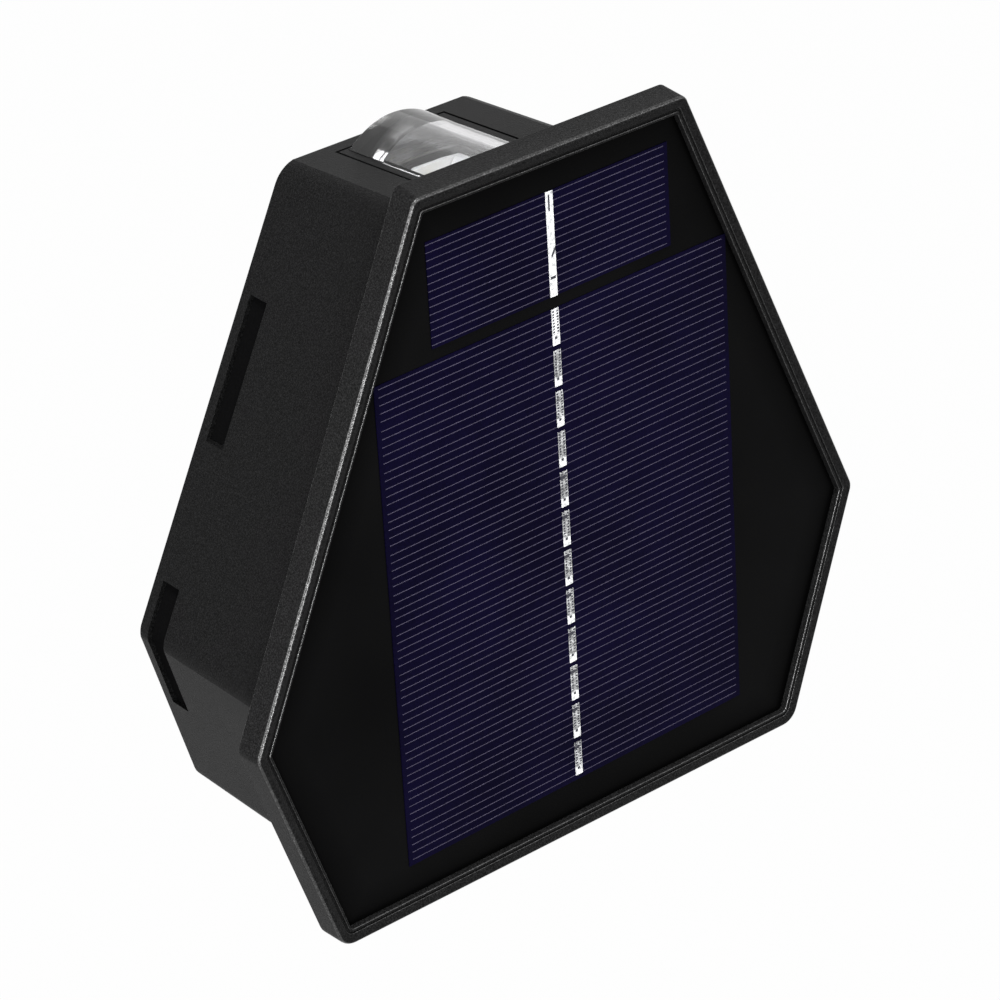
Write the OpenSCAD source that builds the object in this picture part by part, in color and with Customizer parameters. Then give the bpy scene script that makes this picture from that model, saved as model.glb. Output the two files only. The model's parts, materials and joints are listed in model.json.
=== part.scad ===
// Solar wall light with a six-sided front panel, an inset housing,
// a domed lens above and below, and light slots at the sides.
// X is to the right seen from the front, Y points into the wall, Z is up.
// The wall is the plane y = 0 and the origin lies midway between the two fixing holes.
// Distances named "out" are measured from the wall towards the front, along -Y.

/* [Front frame] */
// Distance from the wall to the front rim
depth = 52.1; // [50:0.1:60]
// Height of the top edge above the fixing holes
bezel_top_z = 75; // [73:1:78]
// Height of the frame
bezel_h = 150.8; // [148:0.1:170]
// Width of the top edge
bezel_top_w = 68.3; // [68:0.1:80]
// Width at the widest point
bezel_wide_w = 157.7; // [156:0.1:175]
// Width of the bottom edge
bezel_bottom_w = 122.7; // [120:0.1:136]
// Height of the widest point above the bottom edge
bezel_wide_rise = 49.9; // [44:0.1:53]
// Depth of the outer band
band_t = 6.2; // [6:0.1:7.4]
// How far the band widens towards the back at each side
side_flare = 0.1; // [0:0.1:1]
// How far the band rises towards the back along the top edge
top_flare = 1; // [0:0.1:1.6]
// How far the band's underside lifts towards the back
bottom_lift = 0.1; // [0:0.1:1]
// Radius of the frame's top corners seen from the front
bezel_top_r = 2.1; // [1.6:0.1:5]
// Radius of the frame's bottom corners seen from the front
bezel_bottom_r = 4.2; // [1.6:0.1:6]
// Radius of the frame's widest corners seen from the front
bezel_wide_r = 3.2; // [1.6:0.1:6]
// Rounding of the front edge
edge_r = 0.8; // [0.5:0.1:1]
// Width of the rim
rim_w = 2.2; // [1.8:0.1:2.2]
// Width of the rim's flat crest
crest_w = 0.2; // [0.1:0.1:0.4]
// Drop from the crest to the rim's inner edge
rim_fall = 0.5; // [0.4:0.1:0.7]
// Width of the groove inside the rim
groove_w = 0.4; // [0.3:0.1:0.4]
// Depth of that groove below the rim's inner edge
groove_d = 0.3; // [0.2:0.1:0.4]
// Width of the bead between the groove and the panel
bead_w = 0.6; // [0.4:0.1:0.6]
// Drop from the crest to the top of the bead
bead_drop = 0.3; // [0.2:0.1:0.4]

/* [Solar panel] */
// Depth of the panel's face below the rim
panel_drop = 1.5; // [1.2:0.1:1.6]
// Thickness of the backing board
panel_t = 1.3; // [1:0.1:1.4]
// Thickness of the silicon cells
cell_t = 0.2; // [0.15:0.05:0.3]
// Thickness of the foam tape under the board
tape_t = 0.3; // [0.2:0.1:0.4]
// Width of the foam tape
tape_w = 9; // [4:1:12]
// Width of the upper cell
upper_cell_w = 61; // [50:1:66]
// Height of the upper cell
upper_cell_h = 22; // [16:1:24]
// Drop from the frame's top edge to the upper cell
upper_cell_drop = 9.3; // [9:0.1:12]
// Width of the lower cell
lower_cell_w = 90; // [80:0.2:90]
// Distance from the lower cell to the frame's bottom edge
lower_cell_margin = 10.9; // [9:0.1:20]
// Gap between the two cells
cell_gap = 2.6; // [2.6:0.1:4]
// Turn of both cells on the board, counter-clockwise seen from the front
cell_turn = 1.1; // [0:0.1:1.2]
// Width of the silver ribbon
ribbon_w = 1.8; // [1:0.1:3]
// Thickness of the silver ribbon
ribbon_t = 0.12; // [0.08:0.02:0.3]
// Solder strips on the lower cell
strips = 12; // [6:1:14]
// Gap between two solder strips
strip_gap = 1.1; // [0.6:0.1:2]

/* [Housing] */
// How far the frame stands above the housing
top_overhang = 11.4; // [11:0.1:15]
// How far the frame hangs below the housing
bottom_overhang = 14; // [12:0.1:15]
// How far each end of the frame's top edge stands out past the housing
top_side_overhang = 9.6; // [8:0.1:10]
// How far the frame's widest point stands out past the housing
wide_overhang = 11.5; // [8:0.1:12]
// How far each end of the frame's bottom edge stands out past the housing
bottom_side_overhang = 5.5; // [4:0.1:7]
// Height of the housing's widest point above the frame's
wide_rise = 2.8; // [0:0.1:4]
// How far the walls lean outwards from the wall plane to the frame
body_draft = 1.9; // [1:0.1:2.6]
// Thickness of the side walls
wall = 2; // [1.8:0.1:2.2]
// Thickness of the top and bottom decks that hold the lenses
deck_t = 4.7; // [4.6:0.1:5.4]
// Radius of the housing's top corners
top_corner_r = 6.8; // [3:0.1:7.6]
// Radius of the housing's widest corners
wide_corner_r = 5.4; // [3:0.1:6]
// Radius of the housing's bottom corners
bottom_corner_r = 4; // [1.5:0.1:5]
// Angle of the crease where a top corner meets the deck
top_crease = 12; // [0:1:16]
// Angle of the crease where a widest corner meets the lower side wall
wide_crease = 10; // [0:1:14]

/* [Light slots] */
// Distance from the wall to the slots
slot_out = 2.6; // [2.4:0.1:3]
// Width of the slots
slot_w = 5.4; // [4:0.1:5.4]
// Share of the wall's free height that lies above the upper slots
upper_slot_share = 0.38; // [0.3:0.01:0.55]
// Height that the upper slots cover
upper_slot_l = 27; // [24:0.5:28]
// Height of the lower slots' top end above the housing's widest point
lower_slot_rise = 10.6; // [9:0.1:11.6]
// Height that the lower slots cover
lower_slot_l = 27.5; // [26:0.5:28]
// Depth of a light guide's window below the side wall
slot_recess = 0.8; // [0.5:0.1:1.2]
// Thickness of the light guides behind the slots
guide_t = 6.6; // [6.6:0.1:7.4]
// Gap between the side wall and a light guide
guide_gap = 1; // [1:0.1:1.5]

/* [Lenses] */
// Width of the domed part of a lens
lens_w = 22.6; // [21:0.2:24]
// Height of the dome above the deck
dome_h = 4.4; // [3.4:0.1:6]
// Distance from the wall to the lens
lens_out = 4.7; // [4.6:0.1:5]
// Distance from the front frame to a lens
lens_margin = 3.1; // [3:0.1:4.5]
// Wall of the hollow lens
lens_wall = 2; // [1.4:0.1:2.4]
// Distance from a lens to the middle of the groove beside it
side_border = 2.4; // [2:0.1:3]
// Distance from a lens to the middle of the groove at its ends
end_border = 1.1; // [1:0.1:1.2]
// Width of the groove around the frame of a lens
groove_w = 0.5; // [0.3:0.1:0.6]
// Thickness of the frame around a lens
lens_frame_t = 1.8; // [1.2:0.1:1.9]
// Thickness of the flange that holds a lens down
lens_flange_t = 1; // [0.6:0.1:1.1]
// Thickness of the seal under a lens
lens_gasket_t = 0.4; // [0.2:0.1:0.5]

/* [LEDs] */
// Height of a reflector
reflector_h = 4; // [3:0.1:4.4]
// Thickness of the LED boards
led_board_t = 1.6; // [1:0.1:1.6]
// Distance between the middles of two LEDs under a lens
lens_led_pitch = 3.6; // [3.6:0.1:6]
// Height of an LED
led_h = 0.8; // [0.6:0.1:1]
// Length of an LED
led_l = 3.5; // [2.8:0.1:3.6]
// Width of an LED
led_w = 2.8; // [1.8:0.1:2.8]
// Distance between the middles of two side LEDs
side_led_pitch = 4.1; // [3.8:0.1:6]

/* [Rear cover] */
// Distance from the wall to the cover
cover_out = 8.5; // [8.5:0.1:9.2]
// Thickness of the cover
cover_t = 2.5; // [2.4:0.1:3]
// Thickness of the seals at the cover and at the frame
gasket_t = 0.5; // [0.3:0.1:0.7]
// Width of those seals
gasket_w = 2.2; // [1.6:0.1:2.3]
// Width of the ledge and of the lip that press on the seals
lip_w = 3; // [3:0.1:3.2]
// Thickness of the ledge behind the cover's seal
ledge_t = 2; // [1.6:0.1:2.4]
// Thickness of the lip behind the frame's seal
lip_t = 3; // [2.6:0.1:3.4]

/* [Screws] */
// Radius of a screw's shank
screw_r = 1.45; // [1.2:0.05:1.5]
// Radius of a screw's head
head_r = 2.8; // [2.4:0.1:3]
// Length of a screw below its head
screw_l = 9; // [7:1:10]
// Radius of the screw posts
post_r = 3.2; // [3:0.1:3.4]
// Length of the screw posts
post_l = 12; // [12:1:15]
// Radius of the frame's screw bosses
boss_r = 3.8; // [3.7:0.1:4.2]
// Length of those bosses below the lip's seal
boss_l = 2.5; // [2.2:0.1:3]
// Thickness under the screw heads in those bosses
boss_floor_t = 1.6; // [1.2:0.1:1.8]

/* [Wall bracket] */
// Width of the bracket
bracket_w = 66; // [64:1:70]
// Height of the bracket
bracket_h = 30; // [28:1:32]
// Thickness of the bracket's plate
bracket_t = 2; // [1.6:0.1:2]
// Distance between the two fixing holes
fixing_span = 52; // [50:1:54]
// Radius of the fixing holes
fixing_r = 2.2; // [2:0.1:2.6]
// Distance between the middles of the two hooks
hook_span = 30; // [28:1:31]
// Width of a hook
hook_w = 10; // [8:0.5:12]
// Thickness of the hooks and of the catches behind them
hook_t = 1.8; // [1.4:0.1:1.8]
// Depth that a catch drops behind its hook
hook_grip = 4; // [3.4:0.1:4.4]

/* [Electronics] */
// Width of the main board
board_w = 58; // [56:1:61]
// Height of the main board
board_h = 50; // [48:1:51]
// Share of the free height above the battery tray that lies below the main board
board_low_share = 0.3; // [0.1:0.01:0.5]
// Thickness of the main board
board_t = 1.6; // [1:0.1:2]
// Gap between the rear cover and the main board
board_gap = 6; // [5.8:0.1:6.6]
// Radius of the battery cell
cell_r = 9.2; // [8.8:0.1:9.3]
// Length of the battery cell
cell_l = 65; // [63:1:67]
// Gap between the bottom lamp's screws and the battery tray
battery_gap = 2; // [1.5:0.1:4]
// Wall of the battery tray
tray_wall = 1.5; // [1.2:0.1:1.7]
// Thickness of the battery's end contacts
contact_t = 0.5; // [0.3:0.1:0.8]
// Radius of a wire
wire_r = 0.7; // [0.5:0.1:0.8]

/* [Mode button] */
// Radius of the button's cap
button_r = 4; // [3.6:0.1:4.2]
// Height of the cap above the rear cover
button_h = 1.5; // [1:0.1:1.8]
// Height of the button's middle above the main board's lower edge
button_rise = 6.2; // [4:0.1:8]
// Travel of the button
button_travel = 0.8; // [0.6:0.1:0.8]
// Radius of the switch's plunger
plunger_r = 1.7; // [1.4:0.1:1.8]

/* [Clearances] */
// Running gap around the button and the plunger
running_gap = 0.08; // [0.05:0.01:0.1]
// Gap around pieces that drop into a seat
seat_gap = 0.15; // [0.1:0.05:0.15]
// Gap between the bracket's hooks and the catches
hook_gap = 0.4; // [0.3:0.1:0.4]
// Gap between a self-tapping screw and its pilot hole
pilot_gap = 0.05; // [0.03:0.01:0.1]

/* [Hidden] */
$fn = 48;

// Overrun of every cut
cut = 1;
// Steps of a rounded corner
corner_steps = 6;
// Sockets on the main board
plug_t = 5;
plug_w = 8;
// Overlap of a light guide past each end of its slot
guide_end = 1.5;
// Bare margin of a side LED board beside its LEDs
led_margin = 1.2;
// Radius of the posts that carry an LED board
led_post_r = 2.1;
// Width of the tactile switch
switch_w = 6;

// Distance from the frame's outline to the panel's tray
tray_inset = rim_w + groove_w + bead_w;

// Levels, as distances out from the wall
mouth_out = depth - band_t;
panel_out = depth - panel_drop;
board_front_out = panel_out - cell_t;
board_back_out = board_front_out - panel_t;
tray_out = board_back_out - tape_t;
cover_in_out = cover_out + cover_t;
ledge_out = cover_in_out + gasket_t;
lip_front_out = mouth_out - gasket_t;
lip_back_out = lip_front_out - lip_t;
boss_out = lip_front_out - boss_l;
boss_seat_out = boss_out + boss_floor_t;
board_out = cover_in_out + board_gap;
board_face_out = board_out + board_t;
side_board_out = cover_in_out + led_h + seat_gap;
battery_out = cover_in_out + tray_wall + cell_r + seat_gap;

// Heights of the outlines' corners
bezel_bottom_z = bezel_top_z - bezel_h;
bezel_wide_z = bezel_bottom_z + bezel_wide_rise;
body_top_z = bezel_top_z - top_overhang;
body_bottom_z = bezel_bottom_z + bottom_overhang;
body_wide_z = bezel_wide_z + wide_rise;
draft_angle = atan(body_draft / mouth_out);

// A six-sided outline, counter-clockwise seen from the front, from its top right corner
function outline(top_half, wide_half, bottom_half, top_z, wide_z, bottom_z) = [
    [top_half, top_z], [-top_half, top_z], [-wide_half, wide_z],
    [-bottom_half, bottom_z], [bottom_half, bottom_z], [wide_half, wide_z]];

front_outline = outline(bezel_top_w / 2, bezel_wide_w / 2, bezel_bottom_w / 2,
    bezel_top_z, bezel_wide_z, bezel_bottom_z);
flare_outline = outline(half_at(front_outline, bezel_top_z + top_flare) + side_flare,
    bezel_wide_w / 2 + side_flare, half_at(front_outline, bezel_bottom_z + bottom_lift) + side_flare,
    bezel_top_z + top_flare, bezel_wide_z, bezel_bottom_z + bottom_lift);
body_outline = outline(bezel_top_w / 2 - top_side_overhang, bezel_wide_w / 2 - wide_overhang,
    bezel_bottom_w / 2 - bottom_side_overhang, body_top_z, body_wide_z, body_bottom_z);

// Outward normal of the side that leaves corner i
function normal(points, i) = let (s = points[(i + 1) % len(points)] - points[i])
    [s.y, -s.x] / norm(s);

// A convex outline whose sides are moved outwards by one distance
function grown(points, by) = let (n = len(points)) [for (i = [0:n - 1])
    let (a = normal(points, (i + n - 1) % n), b = normal(points, i))
    points[i] + by * (a + b) / (1 + a * b)];

// The same outline with rounded corners. A crease is the angle that a corner's round leaves at
// the side before it and at the side after it
function rounded(points, radii, creases) = let (n = len(points)) [for (i = [0:n - 1])
    let (a = normal(points, (i + n - 1) % n), b = normal(points, i), c = a * b,
        before = creases == undef ? 0 : creases[i][0], after = creases == undef ? 0 : creases[i][1],
        middle = points[i] - radii[i] / (1 - c * c)
            * ((cos(before) - c * cos(after)) * a + (cos(after) - c * cos(before)) * b),
        from = atan2(a.y, a.x) + before, turn = acos(c) - before - after)
    for (k = [0:corner_steps])
    middle + radii[i] * [cos(from + turn * k / corner_steps), sin(from + turn * k / corner_steps)]];

function even(r) = [r, r, r, r, r, r];
bezel_radii = [bezel_top_r, bezel_top_r, bezel_wide_r, bezel_bottom_r, bezel_bottom_r,
    bezel_wide_r];
body_radii = [top_corner_r, top_corner_r, wide_corner_r, bottom_corner_r, bottom_corner_r,
    wide_corner_r];
body_creases = [[0, top_crease], [top_crease, 0], [0, wide_crease], [0, 0], [0, 0],
    [wide_crease, 0]];

// Front frame at a distance out: it tapers from the flared back edge to the front rim
function bezel_at(out) = flare_outline
    + (front_outline - flare_outline) * ((out - mouth_out) / band_t);
function bezel_ring(out, inset) = rounded(grown(bezel_at(out), -inset),
    [for (r = bezel_radii) max(r - inset, edge_r / 2)]);
function rim_ring(inset) = rounded(grown(front_outline, -inset),
    [for (r = bezel_radii) max(r - inset, edge_r)]);

// Housing at a distance out, its sides set in by one distance
function body_grow(out) = body_draft * out / mouth_out;
function body_at(out, inset) = grown(body_outline, body_grow(out) - inset);
function body_ring(out, inset) = rounded(body_at(out, inset),
    [for (r = body_radii) max(r + body_grow(out) - inset, edge_r)], body_creases);

// Half the width of an outline at a height
function half_at(points, z) = let (a = z < points[5].y ? points[4] : points[5],
        b = z < points[5].y ? points[5] : points[0])
    a.x + (b.x - a.x) * (z - a.y) / (b.y - a.y);

// Inside of the housing at a distance out: thin sides, and decks at the top and bottom
function inner_at(out, inset) = let (sides = body_at(out, wall + inset),
        top = body_top_z + body_grow(out) - deck_t - inset,
        bottom = body_bottom_z - body_grow(out) + deck_t + inset)
    outline(half_at(sides, top), sides[5].x, half_at(sides, bottom), top, sides[5].y, bottom);
function inner_ring(out, inset) = rounded(inner_at(out, inset),
    even(max(wide_corner_r - wall - inset, edge_r)));

// Places of the screws seen from the front, each with the point of the wall that braces it
lip_inner = inner_at(mouth_out, 0);
front_ring = inner_at(mouth_out, lip_w + boss_r + 2 * seat_gap);
front_posts = [for (i = [0:5]) [front_ring[i], lip_inner[i]]];
rear_inner = inner_at(cover_out, 0);
rear_ring = inner_at(cover_out, head_r + edge_r + 2 * seat_gap);

// Heights of the slots' top ends: the upper slots lie between the top screws and the side ones
lower_slot_top = body_wide_z + lower_slot_rise;
slot_room_top = rear_ring[0].y - post_r - guide_end;
slot_room_low = lower_slot_top + 2 * (guide_end + post_r);
upper_slot_top = slot_room_top
    - upper_slot_share * (slot_room_top - slot_room_low - upper_slot_l);
rear_side_z = (upper_slot_top - upper_slot_l + lower_slot_top) / 2;
rear_posts = [for (i = [0, 1, 3, 4]) [rear_ring[i], rear_inner[i]],
    for (s = [-1, 1]) [[s * half_at(rear_ring, rear_side_z), rear_side_z],
        [s * half_at(rear_inner, rear_side_z), rear_side_z]]];

// A prism between two distances out, of a flat outline drawn as seen from the front
module slab(near, far) {
    translate([0, -near, 0]) rotate([90, 0, 0]) linear_extrude(far - near) children();
}

// A rod along the depth
module rod(p, near, far, r) {
    translate([p.x, -near, p.y]) rotate([90, 0, 0]) cylinder(r = r, h = far - near);
}

// A block given by its middle in x and z, its distances out and its size
module block(x, z, near, far, w, h) {
    translate([x - w / 2, -far, z - h / 2]) cube([w, far - near, h]);
}

// A solid through rings of equal length, from the nearest to the wall to the farthest
module loft(rings, outs) {
    n = len(rings[0]);
    last = len(rings) - 1;
    polyhedron(
        points = [for (k = [0:last]) for (p = rings[k]) [p.x, -outs[k], p.y]],
        faces = [
            [for (i = [0:n - 1]) i],
            [for (i = [n - 1:-1:0]) last * n + i],
            for (k = [0:last - 1]) for (i = [0:n - 1]) for (half = [0, 1])
                let (j = (i + 1) % n, a = k * n, b = (k + 1) * n)
                half == 0 ? [a + i, b + i, b + j] : [a + i, b + j, a + j]]);
}

// Shapes at a deck are drawn flat and laid on its slope, those below are their mirror image
module at_top() {
    translate([0, 0, body_top_z]) rotate([-draft_angle, 0, 0]) children();
}
module at_bottom() {
    translate([0, 0, body_bottom_z]) mirror([0, 0, 1]) rotate([-draft_angle, 0, 0]) children();
}
module both_decks() {
    at_top() children();
    at_bottom() children();
}

// A block on the deck: half its width, its distances along the deck and its heights
module deck_block(half, near, far, low, high) {
    translate([-half, -far, low]) cube([2 * half, far - near, high - low]);
}

// A rod that stands on the deck at a place given by its x and its distance along the deck
module deck_rod(p, low, high, r) {
    translate([p.x, -p.y, low]) cylinder(r = r, h = high - low);
}

// A wire through points, with round bends
module wire(points) {
    for (i = [0:len(points) - 2]) {
        way = points[i + 1] - points[i];
        translate(points[i])
            rotate([0, acos(way.z / norm(way)), atan2(way.y, way.x)])
            cylinder(r = wire_r, h = norm(way), $fn = 16);
    }
    for (i = [1:len(points) - 2]) translate(points[i]) sphere(r = wire_r * 1.04, $fn = 16);
}

// Cross recess of a screw head
module cross_recess(p, near, far) {
    arm = head_r * 4 / 3;
    block(p.x, p.y, near, far, arm, head_r / 3);
    block(p.x, p.y, near, far, head_r / 3, arm);
}

// A screw post with a web to the wall
module post(place, near, far, r) {
    p = place[0];
    way = place[1] - p;
    intersection() {
        slab(near, far) polygon(body_ring(near, wall / 2));
        union() {
            rod(p, near, far, r);
            slab(near, far) translate(p) rotate(atan2(way.y, way.x)) translate([0, -wall / 2])
                square([norm(way) + wall / 2, wall]);
        }
    }
}

module front_bezel() {
    steps = 4;
    color("#2b2b2b") difference() {
        union() {
            loft([bezel_ring(mouth_out, 0), for (k = [0:steps])
                    bezel_ring(depth - edge_r, edge_r * (1 - cos(90 * k / steps)))],
                [mouth_out, for (k = [0:steps]) depth - edge_r * (1 - sin(90 * k / steps))]);
            for (p = front_posts) rod(p[0], boss_out, (mouth_out + tray_out) / 2, boss_r);
        }
        difference() {
            loft([rim_ring(rim_w), rim_ring(rim_w), rim_ring(edge_r + crest_w),
                    rim_ring(edge_r + crest_w)],
                [depth - rim_fall - groove_d, depth - rim_fall, depth, depth + cut]);
            slab(tray_out, depth - bead_drop) polygon(rim_ring(rim_w + groove_w));
        }
        slab(tray_out, depth) polygon(rim_ring(tray_inset));
        for (p = front_posts) {
            rod(p[0], boss_out - cut, tray_out + cut, screw_r + seat_gap);
            rod(p[0], boss_seat_out, tray_out + cut, head_r + seat_gap);
        }
        rod(panel_hole, mouth_out - cut, tray_out + cut, 3 * wire_r + seat_gap);
    }
}

module panel_tape() {
    outer = tray_inset + seat_gap;
    color("#3a3a3a") slab(tray_out, board_back_out) difference() {
        polygon(rim_ring(outer));
        polygon(rim_ring(outer + tape_w));
    }
}

module panel_board() {
    color("#151515") slab(board_back_out, board_front_out)
        polygon(rim_ring(tray_inset + seat_gap));
}

upper_cell_z = bezel_top_z - upper_cell_drop - upper_cell_h / 2;
lower_cell_h = bezel_h - upper_cell_drop - upper_cell_h - cell_gap - lower_cell_margin;
lower_cell_z = bezel_bottom_z + lower_cell_margin + lower_cell_h / 2;

// Both cells lie turned about the middle of the gap between them
module turned() {
    pivot = upper_cell_z - (upper_cell_h + cell_gap) / 2;
    translate([0, 0, pivot]) rotate([0, -cell_turn, 0]) translate([0, 0, -pivot]) children();
}

module upper_cell() {
    color("#18142c") turned()
        block(0, upper_cell_z, board_front_out, panel_out, upper_cell_w, upper_cell_h);
}

module lower_cell() {
    color("#18142c") turned()
        block(0, lower_cell_z, board_front_out, panel_out, lower_cell_w, lower_cell_h);
}

module cell_ribbon() {
    pitch = lower_cell_h / strips;
    far = panel_out + ribbon_t;
    color("#d8d8dc") turned() {
        block(0, upper_cell_z, panel_out, far, ribbon_w, upper_cell_h);
        for (i = [0:strips - 1])
            block(0, lower_cell_z + (lower_cell_h + strip_gap) / 2 - (i + 0.5) * pitch, panel_out,
                far, ribbon_w, pitch - strip_gap);
    }
}

module panel_leads() {
    color("#b02020") for (s = [-1, 1]) {
        x = s * 1.2 * wire_r;
        wire([[x, -board_back_out, panel_hole.y], [x, -boss_out, panel_hole.y],
            [x, -board_face_out, panel_hole.y]]);
    }
}

module bezel_screws() {
    head_out = boss_seat_out + cover_t / 2;
    color("#b9bcc0") for (p = front_posts) difference() {
        union() {
            rod(p[0], boss_seat_out, head_out, head_r);
            rod(p[0], boss_seat_out - screw_l, boss_seat_out, screw_r);
        }
        cross_recess(p[0], boss_seat_out + cover_t / 4, head_out + cut);
    }
}

module housing_gasket() {
    color("#565656") slab(lip_front_out, mouth_out) difference() {
        polygon(inner_ring(lip_front_out, seat_gap));
        polygon(inner_ring(lip_front_out, seat_gap + gasket_w));
    }
}

// One height's slots, through both side walls
module slot_cut(top_z, length) {
    intersection() {
        slab(slot_out, slot_out + slot_w) difference() {
            polygon(body_ring(0, -body_draft - cut));
            polygon(body_ring(0, wall + edge_r));
        }
        for (s = [-1, 1])
            block(s * bezel_wide_w / 2, top_z - length / 2, 0, cover_out, bezel_wide_w, length);
    }
}

// Distances along the deck that place a lens and what lies under it
lens_l = mouth_out - lens_out - lens_margin;
seat_half = lens_w / 2 + side_border + groove_w / 2;
frame_half = seat_half - groove_w;
flange_half = frame_half - seat_gap;
lens_far = lens_out + lens_l;
seat_near = lens_out - end_border - groove_w / 2;
seat_far = lens_far + end_border + groove_w / 2;
frame_near = seat_near + groove_w;
frame_far = seat_far - groove_w;
flange_low = -lens_frame_t - lens_flange_t;
seat_low = flange_low - lens_gasket_t;
light_near = ledge_out + ledge_t;
light_far = lens_far - lens_wall;
light_half = lens_w / 2 - lens_wall + seat_gap;
reflector_low = -deck_t - reflector_h;
led_board_low = reflector_low - led_board_t;
led_post_x = light_half + seat_gap + edge_r + led_post_r;
led_posts = [for (s = [-1, 1]) for (v = [light_near + led_post_r, light_far - led_post_r])
    [s * led_post_x, v]];

module rear_housing() {
    color("#262626") difference() {
        union() {
            difference() {
                loft([body_ring(0, 0), body_ring(mouth_out, 0)], [0, mouth_out]);
                loft([inner_ring(-cut, 0), inner_ring(mouth_out + cut, 0)],
                    [-cut, mouth_out + cut]);
            }
            // Ledge that the rear cover is screwed down on
            slab(ledge_out, ledge_out + ledge_t) difference() {
                polygon(body_ring(ledge_out, wall / 2));
                polygon(inner_ring(ledge_out, lip_w));
            }
            // Lip inside the mouth
            slab(lip_back_out, lip_front_out) difference() {
                polygon(body_ring(lip_back_out, wall / 2));
                polygon(inner_ring(lip_back_out, lip_w));
            }
            for (p = front_posts) post(p, boss_out - post_l, boss_out, boss_r);
            for (p = rear_posts) post(p, ledge_out, ledge_out + post_l, post_r);
            both_decks() for (p = led_posts)
                deck_rod(p, reflector_low, (seat_low - deck_t) / 2, led_post_r);
        }
        slot_cut(upper_slot_top, upper_slot_l);
        slot_cut(lower_slot_top, lower_slot_l);
        both_decks() {
            deck_block(seat_half, seat_near, seat_far, seat_low, cut);
            deck_block(light_half, light_near, light_far, -deck_t - cut, cut);
            for (p = led_posts)
                deck_rod(p, reflector_low - cut, -deck_t, led_post_r / 2 + pilot_gap);
        }
        for (p = front_posts)
            rod(p[0], boss_seat_out - screw_l - pilot_gap, boss_out + cut, screw_r + pilot_gap);
        for (p = rear_posts)
            rod(p[0], ledge_out - cut, cover_in_out + screw_l, screw_r + pilot_gap);
    }
}

// A light guide lies inside the side wall over the heights of its slot, and its window fills
// the slot to just below the wall's face
module light_guide(side_x, top_z, length) {
    color("#1c1c1e") {
        slab(slot_out + seat_gap, cover_out) intersection() {
            difference() {
                polygon(rounded(body_at(0, wall + guide_gap), even(edge_r)));
                polygon(rounded(body_at(0, wall + guide_gap + guide_t), even(edge_r)));
            }
            translate([side_x * bezel_wide_w / 2, top_z - length / 2])
                square([bezel_wide_w - hook_span, length + 2 * guide_end], center = true);
        }
        slab(slot_out + seat_gap, slot_out + slot_w - seat_gap) intersection() {
            difference() {
                polygon(body_ring(0, slot_recess));
                polygon(body_ring(0, wall + guide_gap + edge_r));
            }
            translate([side_x * bezel_wide_w / 2, top_z - length / 2])
                square([bezel_wide_w - hook_span, length - 2 * seat_gap], center = true);
        }
    }
}

// Each slot as its side, the height of its top end and the height that it covers
slots = [for (s = [-1, 1]) for (k = [[upper_slot_top, upper_slot_l],
    [lower_slot_top, lower_slot_l]]) [s, k[0], k[1]]];

// Strip of light beside each slot: it runs straight, below the widest corner if it meets it
window_w = led_w + 2 * seat_gap;
led_line = guide_gap + guide_t - window_w / 2 - seat_gap;
side_board_w = window_w + 2 * led_margin;
led_ring = body_at(0, wall + led_line);
function strip_top(k) = k[1] > body_wide_z && k[1] - k[2] < body_wide_z
    ? body_wide_z - wide_corner_r : k[1];
function strip_end(k, z) = [k[0] * half_at(led_ring, z), z];
function strip_way(k) = strip_end(k, k[1] - k[2]) - strip_end(k, strip_top(k));
function strip_middle(k) = (strip_end(k, k[1] - k[2]) + strip_end(k, strip_top(k))) / 2;

// Lays flat children along a strip, centred on it
module along_strip(k) {
    way = strip_way(k);
    translate(strip_middle(k)) rotate(atan2(way.y, way.x)) children();
}

module side_led_boards() {
    color("#e8e8e2") for (k = slots) slab(side_board_out, side_board_out + led_board_t / 2)
        along_strip(k) square([norm(strip_way(k)), side_board_w], center = true);
}

module side_leds() {
    color("#f2e6a0") for (k = slots) {
        count = floor(norm(strip_way(k)) / side_led_pitch);
        slab(cover_in_out + seat_gap, side_board_out) along_strip(k)
            for (i = [0:count - 1]) translate([(i + 0.5 - count / 2) * side_led_pitch, 0])
            square([led_l, led_w], center = true);
    }
}

module side_leads() {
    out = board_face_out + 2 * wire_r;
    color("#d0d0d0") for (k = slots) for (s = [-1, 1]) {
        edge = [k[0] * (board_w / 2 - 3 * edge_r),
            board_z + (k[1] > 0 ? board_h : -board_h) / 4];
        way = edge - strip_middle(k);
        apart = 1.2 * s * wire_r * [-way.y, way.x] / norm(way);
        start = strip_middle(k) + apart;
        end = edge + apart;
        wire([[start.x, -side_board_out - led_board_t / 2, start.y], [start.x, -out, start.y],
            [end.x, -out, end.y], [end.x, -board_face_out, end.y]]);
    }
}

// Catches of the cover drop behind the bracket's hooks and rest on them
hook_low_z = -hook_grip;
hook_base_h = hook_t + edge_r;
hook_high_z = hook_low_z + hook_base_h + hook_grip;
catch_low_z = hook_low_z + hook_base_h + hook_gap;
catch_high_z = hook_high_z + hook_t;
catch_out = bracket_t + hook_gap;
hook_out = catch_out + hook_t + hook_gap;

// The battery tray lies above the bottom lamp, and the main board between the tray and the top lamp
lamp_drop = (led_post_r / 2 - led_board_low) / cos(draft_angle);
tray_low_z = body_bottom_z + lamp_drop + battery_gap;
battery_z = tray_low_z + tray_wall + cell_r;
tray_high_z = battery_z + cell_r + tray_wall;
board_low_z = tray_high_z
    + board_low_share * (body_top_z - lamp_drop - tray_high_z - board_h);
board_z = board_low_z + board_h / 2;
button_z = board_low_z + button_rise;
panel_hole = [0, board_z + board_h / 5];

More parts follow.
